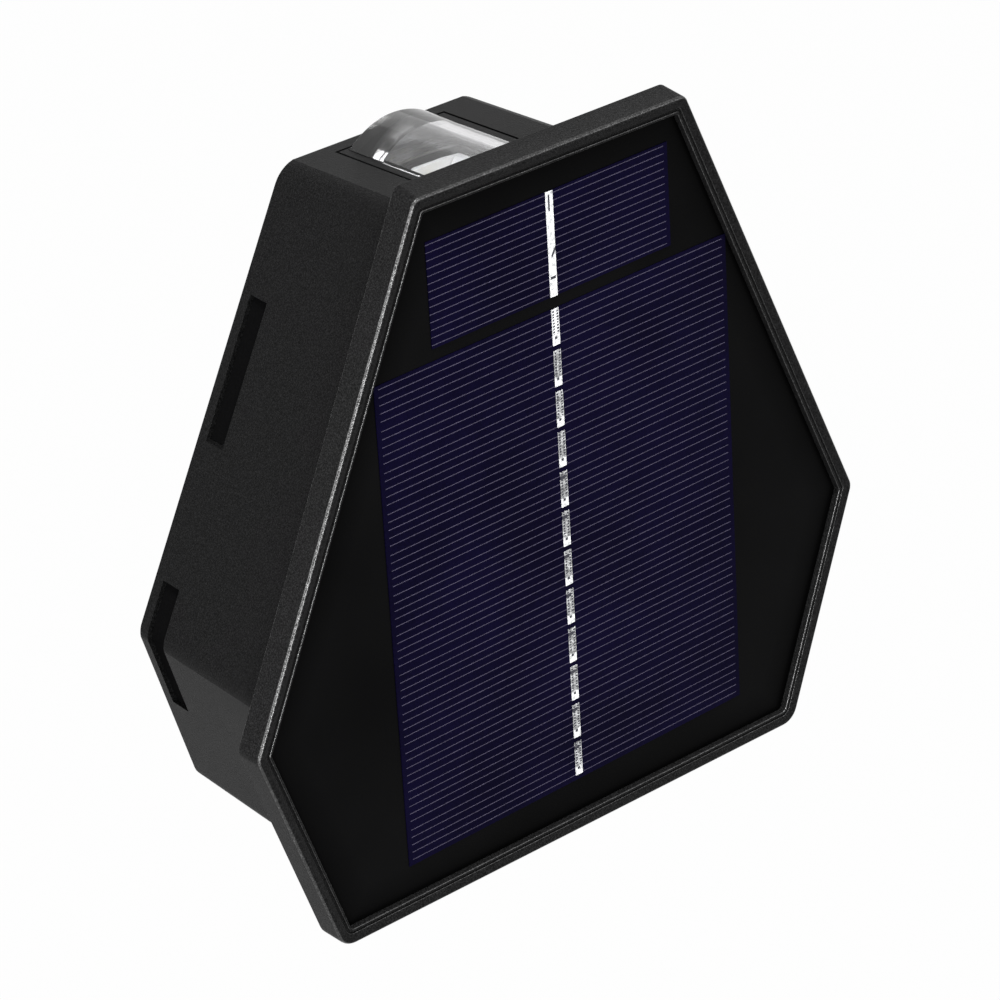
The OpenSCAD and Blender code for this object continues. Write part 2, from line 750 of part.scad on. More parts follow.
// Holes near the main board's corners, with posts that stand clear of the side LED boards
board_screw_r = screw_r * 2 / 3;
board_post_r = post_r * 3 / 4;
board_ring = body_at(0, wall + led_line + side_board_w / 2 + board_post_r + seat_gap);
board_hole_z = board_h / 2 - board_post_r - 2 * edge_r;
board_hole_x = min(board_w / 2 - board_post_r - 2 * edge_r,
    half_at(board_ring, board_z + board_hole_z));
board_holes = [for (sx = [-1, 1]) for (sz = [-1, 1])
    [sx * board_hole_x, board_z + sz * board_hole_z]];

module rear_cover() {
    sunk_out = cover_in_out - cover_t / 2;
    color("#242424") difference() {
        union() {
            slab(cover_out, cover_in_out) polygon(inner_ring(0, seat_gap));
            for (sx = [-1, 1]) {
                block(sx * hook_span / 2, (hook_high_z + catch_high_z) / 2, catch_out, sunk_out,
                    hook_w, hook_t);
                block(sx * hook_span / 2, (catch_low_z + catch_high_z) / 2, catch_out,
                    catch_out + hook_t, hook_w, catch_high_z - catch_low_z);
            }
            for (p = board_holes) rod(p, sunk_out, board_out, board_post_r);
            // Ribs that the side LED boards rest on
            for (k = slots) for (s = [-1, 1]) slab(sunk_out, side_board_out) along_strip(k)
                translate([0, s * (side_board_w - led_margin + seat_gap) / 2])
                square([norm(strip_way(k)), led_margin - seat_gap], center = true);
        }
        for (p = rear_posts) {
            rod(p[0], cover_out - cut, cover_in_out + cut, screw_r + seat_gap);
            rod(p[0], cover_out - cut, sunk_out, head_r + seat_gap);
        }
        for (p = board_holes) rod(p, cover_in_out, board_out + cut, board_screw_r + pilot_gap);
        // Windows for the side LEDs
        for (k = slots) slab(cover_out - cut, cover_in_out + cut) along_strip(k)
            square([norm(strip_way(k)) - 2 * led_margin, window_w - led_margin], center = true);
        rod([0, button_z], cover_out - cut, cover_in_out + cut, button_r + running_gap);
    }
}

module cover_gasket() {
    color("#565656") slab(cover_in_out, ledge_out) difference() {
        union() {
            difference() {
                polygon(inner_ring(0, seat_gap));
                polygon(inner_ring(0, seat_gap + gasket_w));
            }
            for (p = rear_posts) translate(p[0]) circle(r = post_r - seat_gap);
        }
        for (p = rear_posts) translate(p[0]) circle(r = screw_r + seat_gap);
    }
}

module cover_screws() {
    head_out = cover_out + seat_gap;
    seat_out = cover_in_out - cover_t / 2;
    color("#b9bcc0") for (p = rear_posts) difference() {
        union() {
            rod(p[0], head_out, seat_out, head_r);
            rod(p[0], seat_out, seat_out + screw_l, screw_r);
        }
        cross_recess(p[0], head_out - cut, (head_out + seat_out) / 2);
    }
}

module lens_frame() {
    color("#282828") difference() {
        deck_block(frame_half, frame_near, frame_far, -lens_frame_t, 0);
        deck_block(lens_w / 2 + seat_gap, lens_out - seat_gap, lens_far + seat_gap,
            -lens_frame_t - cut, cut);
    }
}

// A bar along the deck with a round crown of a given rise above its foot
module crowned_bar(half, rise, near, far, foot, low) {
    r = (half * half + rise * rise) / (2 * rise);
    intersection() {
        translate([0, -near, foot + rise - r]) rotate([90, 0, 0])
            cylinder(r = r, h = far - near, $fn = 96);
        deck_block(half, near - cut, far + cut, foot - cut, foot + rise + cut);
    }
    deck_block(half, near, far, low, foot);
}

module lens() {
    color("#d5dde2", 0.45) difference() {
        union() {
            crowned_bar(lens_w / 2, dome_h, lens_out, lens_far, 0, flange_low);
            deck_block(flange_half, frame_near + seat_gap, frame_far - seat_gap, flange_low,
                -lens_frame_t);
        }
        crowned_bar(lens_w / 2 - lens_wall, dome_h - lens_wall / 2, light_near, light_far,
            -lens_wall / 2, flange_low - cut);
    }
}

module lens_gasket() {
    color("#565656") difference() {
        deck_block(flange_half, frame_near + seat_gap, frame_far - seat_gap, seat_low, flange_low);
        deck_block(light_half, light_near, light_far, seat_low - cut, flange_low + cut);
    }
}

// A tray whose walls widen from the LEDs to the lens
module reflector() {
    near = light_near + seat_gap;
    far = light_far - seat_gap;
    low_in = edge_r + lens_wall / 2;
    corners = [[1, -1], [-1, -1], [-1, 1], [1, 1]];
    color("#e6e8ea") difference() {
        deck_block(light_half, near, far, reflector_low, -deck_t);
        polyhedron(
            points = [
                for (c = corners) [c.x * (led_l / 2 + edge_r),
                    c.y < 0 ? -near - low_in : -far + low_in, reflector_low - cut],
                for (c = corners) [c.x * (light_half - edge_r),
                    c.y < 0 ? -near - edge_r : -far + edge_r, -deck_t + cut]],
            faces = [[0, 1, 2, 3], [7, 6, 5, 4],
                for (i = [0:3]) let (j = (i + 1) % 4) [i, 4 + i, 4 + j, j]]);
    }
}

module led_board() {
    color("#e8e8e2") difference() {
        deck_block(led_post_x + led_post_r, light_near, light_far, led_board_low, reflector_low);
        for (p = led_posts)
            deck_rod(p, led_board_low - cut, reflector_low + cut, led_post_r / 2 + seat_gap);
    }
}

module leds() {
    near = light_near + 2 * edge_r + lens_wall / 2;
    room = light_far - light_near - 4 * edge_r - lens_wall;
    count = floor(room / lens_led_pitch);
    pitch = room / count;
    color("#f2e6a0") for (i = [0:count - 1])
        deck_block(led_l / 2, near + (i + 0.5) * pitch - led_w / 2,
            near + (i + 0.5) * pitch + led_w / 2, reflector_low, reflector_low + led_h);
}

module board_screws() {
    color("#b9bcc0") for (p = led_posts) {
        deck_rod(p, led_board_low - led_post_r / 2, led_board_low, led_post_r * 0.9);
        deck_rod(p, led_board_low, reflector_low + reflector_h * 2 / 3, led_post_r / 2);
    }
}

// A pair of wires from the back of an LED board to a socket of the main board
deck_lead_out = light_far - 3 * led_post_r;
deck_lead_low = led_board_low / cos(draft_angle);
deck_lead_rise = deck_lead_out * tan(draft_angle);
plug_zs = [board_z + board_h * 0.3, board_z - board_h * 0.3];
plug_face_out = board_face_out + plug_t;
module deck_leads(route) {
    color("#b02020") for (s = [-1, 1]) wire([for (p = route) [1.2 * s * wire_r, -p.x, p.y]]);
}
module top_leads() {
    start_z = body_top_z + deck_lead_low + deck_lead_rise - 2 * pilot_gap;
    deck_leads([[deck_lead_out, start_z], [deck_lead_out, plug_zs[0]],
        [plug_face_out, plug_zs[0]]]);
}
// The lower pair passes in front of the battery
module bottom_leads() {
    start_z = body_bottom_z - deck_lead_low - deck_lead_rise + 2 * pilot_gap;
    front_out = max(deck_lead_out, battery_out + cell_r + 2 * wire_r);
    deck_leads([[deck_lead_out, start_z], [deck_lead_out, start_z + wire_r],
        [front_out, tray_low_z], [front_out, plug_zs[1]], [plug_face_out, plug_zs[1]]]);
}

module main_board() {
    color("#1f5a34") difference() {
        block(0, board_z, board_out, board_face_out, board_w, board_h);
        for (p = board_holes)
            rod(p, board_out - cut, board_face_out + cut, board_screw_r + seat_gap);
    }
}

// Sockets, capacitors and chips
module board_parts() {
    face = board_face_out;
    color("#30302e") {
        for (z = plug_zs) block(0, z, face, face + plug_t, plug_w, plug_t);
        for (s = [-1, 1])
            block(s * (board_w - plug_w) / 2, board_z, face, face + plug_t, plug_w, plug_t);
        block(0, board_z, face, face + board_t, plug_w, plug_w);
        rod([-board_w / 4, board_z + board_h / 4], face, face + plug_t, plug_w / 2);
        rod([board_w / 4, board_z + board_h / 4], face, face + plug_w, plug_w / 3);
        block(board_w / 4, board_z - board_h / 4, face, face + board_t, plug_t, plug_t);
    }
}

module main_board_screws() {
    color("#b9bcc0") for (p = board_holes) {
        rod(p, board_face_out, board_face_out + board_screw_r, 2 * board_screw_r);
        rod(p, board_out - board_gap * 2 / 3, board_face_out, board_screw_r);
    }
}

// The battery lies in a half-round tray on the cover's inner face
tray_half = cell_l / 2 + contact_t + tray_wall + seat_gap;
module battery_tray() {
    inner_half = tray_half - tray_wall;
    color("#303030") difference() {
        block(0, battery_z, cover_in_out, battery_out, 2 * tray_half, 2 * (cell_r + tray_wall));
        translate([-inner_half, -battery_out, battery_z]) rotate([0, 90, 0])
            cylinder(r = cell_r + seat_gap, h = 2 * inner_half);
    }
}

module battery_cell() {
    color("#2f6fa8") translate([-cell_l / 2, -battery_out, battery_z]) rotate([0, 90, 0]) {
        cylinder(r = cell_r, h = cell_l - contact_t);
        cylinder(r = cell_r / 3, h = cell_l);
    }
}

module battery_contacts() {
    color("#c9ccd0") for (s = [-1, 1])
        block(s * (cell_l + contact_t) / 2, battery_z, battery_out - cell_r * 2 / 3,
            battery_out + cell_r * 2 / 3, contact_t, cell_r);
}

module battery_leads() {
    x = cell_l / 2 + contact_t + wire_r;
    plug_out = board_face_out + plug_t / 2;
    color("#b02020") for (s = [-1, 1])
        wire([[s * x, -battery_out - cell_r / 2, battery_z], [s * x, -battery_out - cell_r / 2, board_z],
            [s * x, -plug_out, board_z], [s * board_w / 2, -plug_out, board_z]]);
}

// Tactile switch between the main board and the button
switch_out = cover_in_out + 2 * hook_gap + 2 * button_travel;
flange_out = cover_in_out + 2 * hook_gap;
module mode_switch() {
    color("#4a4a4a") difference() {
        block(0, button_z, switch_out, board_out, switch_w, switch_w);
        rod([0, button_z], switch_out - cut, switch_out + 2 * button_travel,
            plunger_r + running_gap);
    }
}

module switch_plunger() {
    color("#202020")
        rod([0, button_z], flange_out, switch_out + button_travel / 2, plunger_r);
}

module mode_button() {
    color("#3c3c3c") {
        rod([0, button_z], cover_out - button_h, flange_out, button_r);
        rod([0, button_z], cover_in_out, flange_out, button_r + 2 * edge_r);
    }
}

module wall_bracket() {
    corner = 4 * edge_r;
    plate = [[bracket_w / 2, bracket_h / 2], [-bracket_w / 2, bracket_h / 2],
        [-bracket_w / 2, -bracket_h / 2], [bracket_w / 2, -bracket_h / 2]];
    color("#303236") difference() {
        union() {
            slab(0, bracket_t) polygon(rounded(plate, [corner, corner, corner, corner]));
            for (sx = [-1, 1]) {
                block(sx * hook_span / 2, hook_low_z + hook_base_h / 2, bracket_t / 2,
                    hook_out + hook_t, hook_w, hook_base_h);
                block(sx * hook_span / 2, (hook_low_z + hook_high_z) / 2, hook_out,
                    hook_out + hook_t, hook_w, hook_high_z - hook_low_z);
            }
        }
        for (sx = [-1, 1]) rod([sx * fixing_span / 2, 0], -cut, bracket_t + cut, fixing_r);
    }
}

front_bezel();
panel_tape();
panel_board();
upper_cell();
lower_cell();
cell_ribbon();
panel_leads();
bezel_screws();
housing_gasket();
rear_housing();
rear_cover();
cover_gasket();
cover_screws();
at_top() lens_frame();  // top_lens_frame
at_top() lens();  // top_lens
at_top() lens_gasket();  // top_lens_gasket
at_top() reflector();  // top_reflector
at_top() led_board();  // top_led_board
at_top() leds();  // top_leds
at_top() board_screws();  // top_board_screws
top_leads();
at_bottom() lens_frame();  // bottom_lens_frame
at_bottom() lens();  // bottom_lens
at_bottom() lens_gasket();  // bottom_lens_gasket
at_bottom() reflector();  // bottom_reflector
at_bottom() led_board();  // bottom_led_board
at_bottom() leds();  // bottom_leds
at_bottom() board_screws();  // bottom_board_screws
bottom_leads();
light_guide(-1, upper_slot_top, upper_slot_l);  // left_upper_guide
light_guide(-1, lower_slot_top, lower_slot_l);  // left_lower_guide
light_guide(1, upper_slot_top, upper_slot_l);  // right_upper_guide
light_guide(1, lower_slot_top, lower_slot_l);  // right_lower_guide
side_led_boards();
side_leds();
side_leads();
main_board();
board_parts();
main_board_screws();
battery_tray();
battery_cell();
battery_contacts();
battery_leads();
mode_switch();
switch_plunger();
mode_button();
wall_bracket();
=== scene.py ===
"""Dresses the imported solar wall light: edges, solar cells, ribbon, lenses, finishes and studio."""

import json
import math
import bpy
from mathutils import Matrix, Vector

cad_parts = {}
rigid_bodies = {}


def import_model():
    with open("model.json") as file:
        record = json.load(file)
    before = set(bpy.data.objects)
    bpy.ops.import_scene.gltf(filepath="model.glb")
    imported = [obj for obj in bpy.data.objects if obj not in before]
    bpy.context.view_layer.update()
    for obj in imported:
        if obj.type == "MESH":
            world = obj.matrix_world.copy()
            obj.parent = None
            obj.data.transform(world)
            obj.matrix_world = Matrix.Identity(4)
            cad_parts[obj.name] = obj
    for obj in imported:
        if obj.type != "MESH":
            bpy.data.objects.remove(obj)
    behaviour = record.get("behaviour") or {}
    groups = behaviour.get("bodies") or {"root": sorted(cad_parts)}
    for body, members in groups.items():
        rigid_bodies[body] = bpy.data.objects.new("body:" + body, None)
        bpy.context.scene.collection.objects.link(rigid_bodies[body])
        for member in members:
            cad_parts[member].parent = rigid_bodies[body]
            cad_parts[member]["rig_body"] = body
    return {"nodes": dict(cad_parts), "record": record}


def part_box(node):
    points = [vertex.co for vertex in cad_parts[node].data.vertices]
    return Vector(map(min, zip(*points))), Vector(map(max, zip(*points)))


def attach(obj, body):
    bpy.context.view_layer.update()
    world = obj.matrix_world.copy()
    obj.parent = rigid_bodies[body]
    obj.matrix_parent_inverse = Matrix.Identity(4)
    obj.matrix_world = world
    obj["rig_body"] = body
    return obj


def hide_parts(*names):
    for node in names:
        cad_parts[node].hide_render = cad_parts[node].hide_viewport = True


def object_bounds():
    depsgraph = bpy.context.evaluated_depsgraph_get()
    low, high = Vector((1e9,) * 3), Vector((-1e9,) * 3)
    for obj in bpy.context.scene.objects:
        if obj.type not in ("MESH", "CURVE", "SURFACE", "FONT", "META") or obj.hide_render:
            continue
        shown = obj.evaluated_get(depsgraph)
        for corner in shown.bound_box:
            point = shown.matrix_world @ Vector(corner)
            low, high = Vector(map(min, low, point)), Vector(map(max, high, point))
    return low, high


bl_info = {
    "name": "Solar wall light",
    "version": (1, 0, 0),
    "blender": (4, 5, 0),
    "location": "View3D > Sidebar > Wall light",
    "description": "Dresses the packed solar wall light and sets its studio",
    "category": "Add Mesh",
}

import bmesh
import bpy
from bpy.props import FloatProperty, FloatVectorProperty, IntProperty, PointerProperty
from mathutils import Matrix, Vector

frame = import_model()
CAD_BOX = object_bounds()
MM = 0.001

BOARD_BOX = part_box("panel_board")
UPPER_CELL_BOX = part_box("upper_cell")
LOWER_CELL_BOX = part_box("lower_cell")
LENS_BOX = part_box("top_lens")

# Edges and meshes: angles that count as sharp, smooth or flat, then distances
SHARP = math.radians(35)
SMOOTH = math.radians(30)
FLAT = math.radians(0.4)
MERGE_GAP = 0.002 * MM
SMALL_EDGE = 0.08 * MM
REFLECTOR_EDGE = 0.10 * MM
LEVEL_GAP = 0.02 * MM
CREASE_RUN = 25 * MM
CREASE_TURN = (math.radians(9.3), math.radians(20))
CORNER_GAP = 0.05 * MM
BUTTON_ROUND = 1.5

# Moulded plastic: depth of the grain, how far it lightens and darkens, gloss and IOR, and how much
# rubbed wear and painted sheen the surface gets at each slope between a side, 0, and the front, 1
RELIEF = 0.075 * MM
SPECKLE = 0.60
GLOSS = 0.035
PLASTIC_IOR = 1.46
RUBBED_SHEEN = ((0.15, 0.0), (0.40, 1.0), (0.80, 1.0), (0.90, 0.0))

# Lens: how far the painted shade at its wall end reaches, the width of its fade, how much farther
# it reaches at the sides, how clear the crown is under its painted shade and how much clearer the
# sides are, and IOR
SHADE_REACH = 4.0 * MM
SHADE_FADE = 2.0 * MM
SHADE_SIDE = 1.4
CROWN = 0.35
CROWN_SIDE = 1.6
ACRYLIC_IOR = 1.49

# Solar panel: width of the painted shade along its rim, and gloss of its film
RIM_SHADE_WIDTH = 7 * MM
FILM_GLOSS = 0.015

# Ribbon: dotted flux lines, a bar and a speck on the strips of the lower cell, then the slit,
# the hook and the mark above that cell
FLUX_LINE = 0.29
FLUX_HALF = 0.24 * MM
DOT_PITCH = 0.62 * MM
DOT_LENGTH = 0.36 * MM
DOTTED = 0.62
BAR_DOWN, BAR_HALF, BAR_FROM = 1.2 * MM, 0.38 * MM, 3.6
SPECK_DOWN, SPECK_HALF = 0.70, 0.30 * MM
SLIT_SIDE, SLIT_HALF, SLIT_LOW, SLIT_HIGH = 0.15 * MM, 0.22 * MM, 20.6 * MM, 24.0 * MM
HOOK_UP, HOOK_HALF, HOOK_SLOPE = 11.2 * MM, 0.45 * MM, 1.5
MARK_UP, MARK_HALF, MARK_SIDE = 6.6 * MM, 0.30 * MM, 0.7 * MM
GREY_SHARE, GREY_FROM = 0.66, 0.9
MARK_TINT = (0.02, 0.02, 0.03)

# Circuit boards' copper tracks, and where the battery's pale band starts
TRACK_PITCH = 3.1 * MM
TRACK_MIDDLE = 1.5 * MM
TRACK_HALF = 0.35 * MM
BAND_FROM = 24 * MM

# Stage: the floor and its backdrop, the white that rays see on them, the camera, and the lamps:
# name, setting of its power, place, width, height
FLOOR_SIDE = 9.0
BACKDROP_FROM = 4.0
BACKDROP_H = 5.0
BACKDROP_BEND = 1.5
BEND_STEPS = 16
WHITE_SHARE = 0.985
WHITE_RAYS = ("Is Camera Ray", "Is Transmission Ray", "Is Glossy Ray")
SENSOR_W = 36.0
CLIP_END = 20.0
LAMP_AIM = (0.0, -0.03, 0.0)
LAMPS = (
    ("key_lamp", "key", (-0.9, -0.9, 1.4), 1.2, 1.2),
    ("left_lamp", "left", (-1.25, 0.02, 0.28), 0.6, 0.6),
    ("strip_lamp", "strip", (-0.86, -0.96, 0.10), 0.10, 1.2),
    ("low_lamp", "low", (-1.0, 0.1, -0.75), 0.9, 0.6),
    ("edge_lamp", "edge_lamp", (0.75, -0.95, 0.80), 0.5, 0.9),
    ("back_lamp", "behind", (0.80, 0.95, 0.68), 0.8, 0.6),
    ("rear_lamp", "rear", (0.30, 1.50, -0.10), 1.0, 1.0),
    ("top_lamp", "above", (-0.20, -0.30, 1.45), 0.5, 0.5),
)

FINISHES = {}


def length(name, description, default):
    return FloatProperty(name=name, description=description, default=default, min=0.0, max=1.0,
                         unit="LENGTH", precision=5)


def colour(name, description, default):
    return FloatVectorProperty(name=name, description=description, default=default, size=3,
                               min=0.0, max=1.0, subtype="COLOR")


def factor(name, description, default):
    return FloatProperty(name=name, description=description, default=default, min=0.0, max=1.0,
                         subtype="FACTOR")


def degrees(name, description, default):
    return FloatProperty(name=name, description=description, default=math.radians(default),
                         subtype="ANGLE")


def power(name, description, default):
    return FloatProperty(name=name, description=description, default=default, min=0.0,
                         unit="POWER")


class PlasticSettings(bpy.types.PropertyGroup):
    """Moulded black plastic of the frame, the housing and the rear cover."""

    # One black plastic in two tints: the frame's lighter tint is painted light on its band, the
    # housing's darker tint painted shade on its walls
    tint: colour("Housing", "Colour of the housing's moulded plastic", (0.0044, 0.0044, 0.0045))
    frame_lit_tint: colour("Frame", "Colour of the frame's moulded plastic", (0.0070, 0.0070, 0.0071))
    gloss_roughness: factor("Roughness", "Roughness of the fine spark texture", 0.40)
    grain: length("Grain", "Size of the spark texture's grain", 0.30 * MM)
    # The wear also sets the painted sheen: how light and metallic the rubbed edges of the frame and
    # the housing are, standing in for their highlight
    wear: factor("Wear", "Brightness of the frame's rubbed edges", 0.06)
    edge: length("Edge", "Radius of the moulded edges", 0.18 * MM)
    bead_edge: length("Bead edge", "Radius of the bead's edges", 0.27 * MM)
    bead_drop: length("Bead drop", "Distance from the rim to the top of the bead", 0.3 * MM)


class PanelSettings(bpy.types.PropertyGroup):
    """Solar panel behind its clear film."""

    board_tint: colour("Backing", "Colour of the backing board under the film",
                       (0.0023, 0.0023, 0.0024))
    cell_tint: colour("Silicon", "Colour of the silicon", (0.0019, 0.0013, 0.0098))
    finger_tint: colour("Fingers", "Colour of the printed contact fingers", (0.062, 0.056, 0.088))
    cell_turn: degrees("Cell turn", "Turn of both cells on the board", 1.1)
    finger_w: length("Finger width", "Width of a contact finger", 0.165 * MM)
    upper_pitch: length("Upper pitch", "Distance between the upper cell's fingers", 1.59 * MM)
    upper_first: length("Upper first", "Bare silicon above the upper cell's first finger", 0.6 * MM)
    lower_pitch: length("Lower pitch", "Distance between a group's fingers", 1.70 * MM)
    lower_first: length("Lower first", "Bare silicon above the lower cell's first finger", 0.8 * MM)
    strips: IntProperty(name="Groups",
                        description="Groups of fingers and solder strips of the lower cell",
                        default=12, min=1, max=40)
    group: IntProperty(name="Group", description="Fingers in a group", default=5, min=1, max=20)
    finger_margin: length("Finger margin", "Bare silicon beside the fingers", 1.0 * MM)
    ribbon_w: length("Ribbon width", "Width of the tinned ribbon", 1.8 * MM)
    ribbon_tint: colour("Ribbon", "Colour of the tinned ribbon", (0.86, 0.87, 0.88))


class StudioSettings(bpy.types.PropertyGroup):
    """Camera, lamps and floor."""

    focal: FloatProperty(name="Focal length", description="Focal length on a 36 mm wide sensor",
                         default=159.47, min=20.0, max=400.0)
    camera_place: FloatVectorProperty(name="Camera", description="Place of the camera", size=3,
                                      default=(-0.5000, -0.6279, 0.4054), subtype="XYZ",
                                      unit="LENGTH")
    yaw: degrees("Yaw", "Turn of the view about the vertical", 39.996)
    pitch: degrees("Pitch", "Drop of the view below the horizon", 27.946)
    roll: degrees("Roll", "Turn of the view about its own axis", -2.526)
    floor_z: FloatProperty(name="Floor", description="Height of the floor", default=-1.40,
                           unit="LENGTH")
    floor_tint: colour("Floor colour", "Colour of the floor", (0.55, 0.55, 0.55))
    sky: factor("Room light", "Strength of the room's even light", 0.28)
    key: power("Key lamp", "Power of the key lamp", 2.5)
    left: power("Left lamp", "Power of the left lamp", 10.0)
    strip: power("Strip lamp", "Power of the tall front strip", 20.0)
    low: power("Low lamp", "Power of the low lamp", 1.2)
    edge_lamp: power("Edge lamp", "Power of the edge lamp", 4.5)
    behind: power("Back lamp", "Power of the lamp behind", 0.8)
    rear: power("Rear lamp", "Power of the lamp at the wall side", 6.0)
    above: power("Top lamp", "Power of the lamp above", 30.0)


SETTINGS = (("wall_light_plastic", PlasticSettings), ("wall_light_panel", PanelSettings),
            ("wall_light_studio", StudioSettings))


class Socket:
    """An output of a shader node that takes part in sums."""

    def __init__(self, finish, output):
        self.finish = finish
        self.output = output

    def _sum(self, operation, *values, clamp=False):
        return self.finish.node("ShaderNodeMath", {"operation": operation, "use_clamp": clamp},
                                dict(enumerate(values)))

    def __add__(self, other):
        return self._sum("ADD", self, other)

    __radd__ = __add__

    def __sub__(self, other):
        return self._sum("SUBTRACT", self, other)

    def __rsub__(self, other):
        return self._sum("SUBTRACT", other, self)

    def __mul__(self, other):
        return self._sum("MULTIPLY", self, other)

    __rmul__ = __mul__

    def __mod__(self, other):
        return self._sum("FLOORED_MODULO", self, other)

    def __abs__(self):
        return self._sum("ABSOLUTE", self)

    def least(self, other):
        return self._sum("MINIMUM", self, other)

    def __lt__(self, other):
        return self._sum("LESS_THAN", self, other)

    def __gt__(self, other):
        return self._sum("GREATER_THAN", self, other)

    def clamped(self):
        return self._sum("ADD", self, 0.0, clamp=True)


class Finish:
    """One material, built node by node."""

    def __init__(self, name):
        self.material = bpy.data.materials.new(name)
        self.material.use_nodes = True
        self.tree = self.material.node_tree
        self.tree.nodes.clear()

    def node(self, kind, settings=None, sockets=None, out=0):
        """Adds a node: its settings first, then the values or links of its sockets."""
        made = self.tree.nodes.new(kind)
        for key, value in (settings or {}).items():
            if key == "stops":
                ramp = made.color_ramp
                while len(ramp.elements) < len(value):
                    ramp.elements.new(0.5)
                for element, (place, tone) in zip(ramp.elements, value):
                    element.position = place
                    element.color = (*tone, 1.0)
            else:
                setattr(made, key, value)
        for key, value in (sockets or {}).items():
            if isinstance(value, Socket):
                self.tree.links.new(value.output, made.inputs[key])
            elif value is not None:
                made.inputs[key].default_value = value
        return Socket(self, made.outputs[out])

    def place(self):
        """Object coordinates, which are the part's own metres."""
        return self.node("ShaderNodeTexCoord", out="Object")

    def axes(self, vector):
        split = self.tree.nodes.new("ShaderNodeSeparateXYZ")
        self.tree.links.new(vector.output, split.inputs[0])
        return [Socket(self, split.outputs[i]) for i in range(3)]

    def noise(self, vector, size, detail=2.0, roughness=0.5):
        """Even noise whose lumps have one size in metres."""
        return self.node("ShaderNodeTexNoise", {"noise_dimensions": "3D"},
                         {"Vector": vector, "Scale": 1.0 / size, "Detail": detail,
                          "Roughness": roughness})

    def ramp(self, value, *stops):
        return self.node("ShaderNodeValToRGB", {"stops": stops}, {"Fac": value})

    def mix(self, share, first, second):
        return self.node("ShaderNodeMix", {"data_type": "RGBA"},
                         {"Factor": share, 6: first, 7: second}, out=2)

    def bump(self, height, distance):
        return self.node("ShaderNodeBump", {}, {"Height": height, "Distance": distance})

    def surface(self, **sockets):
        """The shader and its output: names with _ for a blank, such as Base_Color."""
        values = {key.replace("_", " "): value for key, value in sockets.items()}
        self.node_output(self.node("ShaderNodeBsdfPrincipled", {}, values, out="BSDF"))
        return self.material

    def node_output(self, shader):
        end = self.tree.nodes.new("ShaderNodeOutputMaterial")
        self.tree.links.new(shader.output, end.inputs["Surface"])


def rgba(tone):
    return (*tone, 1.0)


def grey(level):
    return (level, level, level)


def scaled(tone, by):
    return tuple(min(1.0, c * by) for c in tone)


def moulded_plastic(name, tint, roughness, grain, relief=RELIEF, speckle=SPECKLE, level=GLOSS,
                    worn_sheen=0.0, bend=PLASTIC_IOR):
    """Spark-textured plastic: fine even grain in its colour, gloss and surface.

    With wear set, the rounded edges between its sides and its front are rubbed bright: a painted
    sheen, lighter and metallic by slope, that stands in for their highlight.
    """
    f = Finish(name)
    place = f.place()
    fine = f.noise(place, grain, 1.0, 0.6)
    broad = f.noise(place, 14 * MM)
    tone = f.ramp(fine, (0.30, scaled(tint, 1 - speckle)), (0.50, tint),
                  (0.72, scaled(tint, 1 + 2 * speckle)))
    dull = (broad - 0.5) * 0.06 + (fine - 0.5) * 0.10 + roughness
    if not worn_sheen:
        return f.surface(Base_Color=tone, Roughness=dull, Normal=f.bump(fine, relief), IOR=bend,
                         Specular_IOR_Level=level)
    # Painted sheen along with the wear: edges that turn from the sides to the front get a lighter,
    # metallic colour that stands in for their highlight
    _, facing, _ = f.axes(f.node("ShaderNodeNewGeometry", out="Normal"))
    edges = f.ramp(abs(facing), *((slope, grey(share)) for slope, share in RUBBED_SHEEN))
    sheen_tone = f.ramp(fine, (0.32, grey(worn_sheen * 0.5)), (0.60, grey(worn_sheen * 1.2)),
                     (0.72, grey(worn_sheen * 2.2)))
    return f.surface(Base_Color=f.mix(edges, tone, sheen_tone), Metallic=edges,
                     Roughness=dull - edges * 0.08, Normal=f.bump(fine, relief), IOR=bend,
                     Specular_IOR_Level=level)


def rubber(name, tint):
    """Soft matt rubber of the seals and the button."""
    f = Finish(name)
    place = f.place()
    fine = f.noise(place, 0.18 * MM, 3.0)
    tone = f.ramp(fine, (0.3, scaled(tint, 0.8)), (0.7, scaled(tint, 1.25)))
    return f.surface(Base_Color=tone, Roughness=(fine - 0.5) * 0.12 + 0.72,
                     Normal=f.bump(fine, 0.01 * MM))


def foam_tape(name, tint):
    """Open foam of the tape that holds the panel."""
    f = Finish(name)
    place = f.place()
    cells = f.node("ShaderNodeTexVoronoi", {"feature": "F1"},
                   {"Vector": place, "Scale": 1 / (0.5 * MM)})
    tone = f.ramp(cells, (0.0, scaled(tint, 0.5)), (0.6, scaled(tint, 1.2)))
    return f.surface(Base_Color=tone, Roughness=0.92, Normal=f.bump(cells, 0.08 * MM))


def metal(name, tint, roughness, brushed=(1.0, 1.0, 1.0)):
    """Plated steel with faint drawing lines and dull spots."""
    f = Finish(name)
    place = f.place()
    drawn = f.node("ShaderNodeMapping", {}, {"Vector": place, "Scale": brushed})
    lines = f.noise(drawn, 0.25 * MM, 3.0)
    spots = f.noise(place, 2.2 * MM, 3.0)
    tone = f.ramp(spots, (0.35, scaled(tint, 0.82)), (0.65, scaled(tint, 1.05)))
    dull = (lines - 0.5) * 0.18 + (spots - 0.5) * 0.12 + roughness
    return f.surface(Base_Color=tone, Metallic=1.0, Roughness=dull,
                     Normal=f.bump(lines, 0.006 * MM))


def lacquered_board(name, tint, legend):
    """Circuit board: solder mask over copper tracks."""
    f = Finish(name)
    place = f.place()
    x, _, z = f.axes(place)
    tracks = ((abs((x * 0.8 + z * 0.6) % TRACK_PITCH - TRACK_MIDDLE) < TRACK_HALF)
              * (f.noise(place, 9 * MM, 1.0) > 0.52))
    wavy = f.noise(place, 1.2 * MM, 2.0)
    base = f.mix(tracks, rgba(tint), rgba(legend))
    return f.surface(Base_Color=base, Roughness=(wavy - 0.5) * 0.15 + 0.36,
                     Normal=f.bump(tracks + wavy * 0.2, 0.03 * MM))


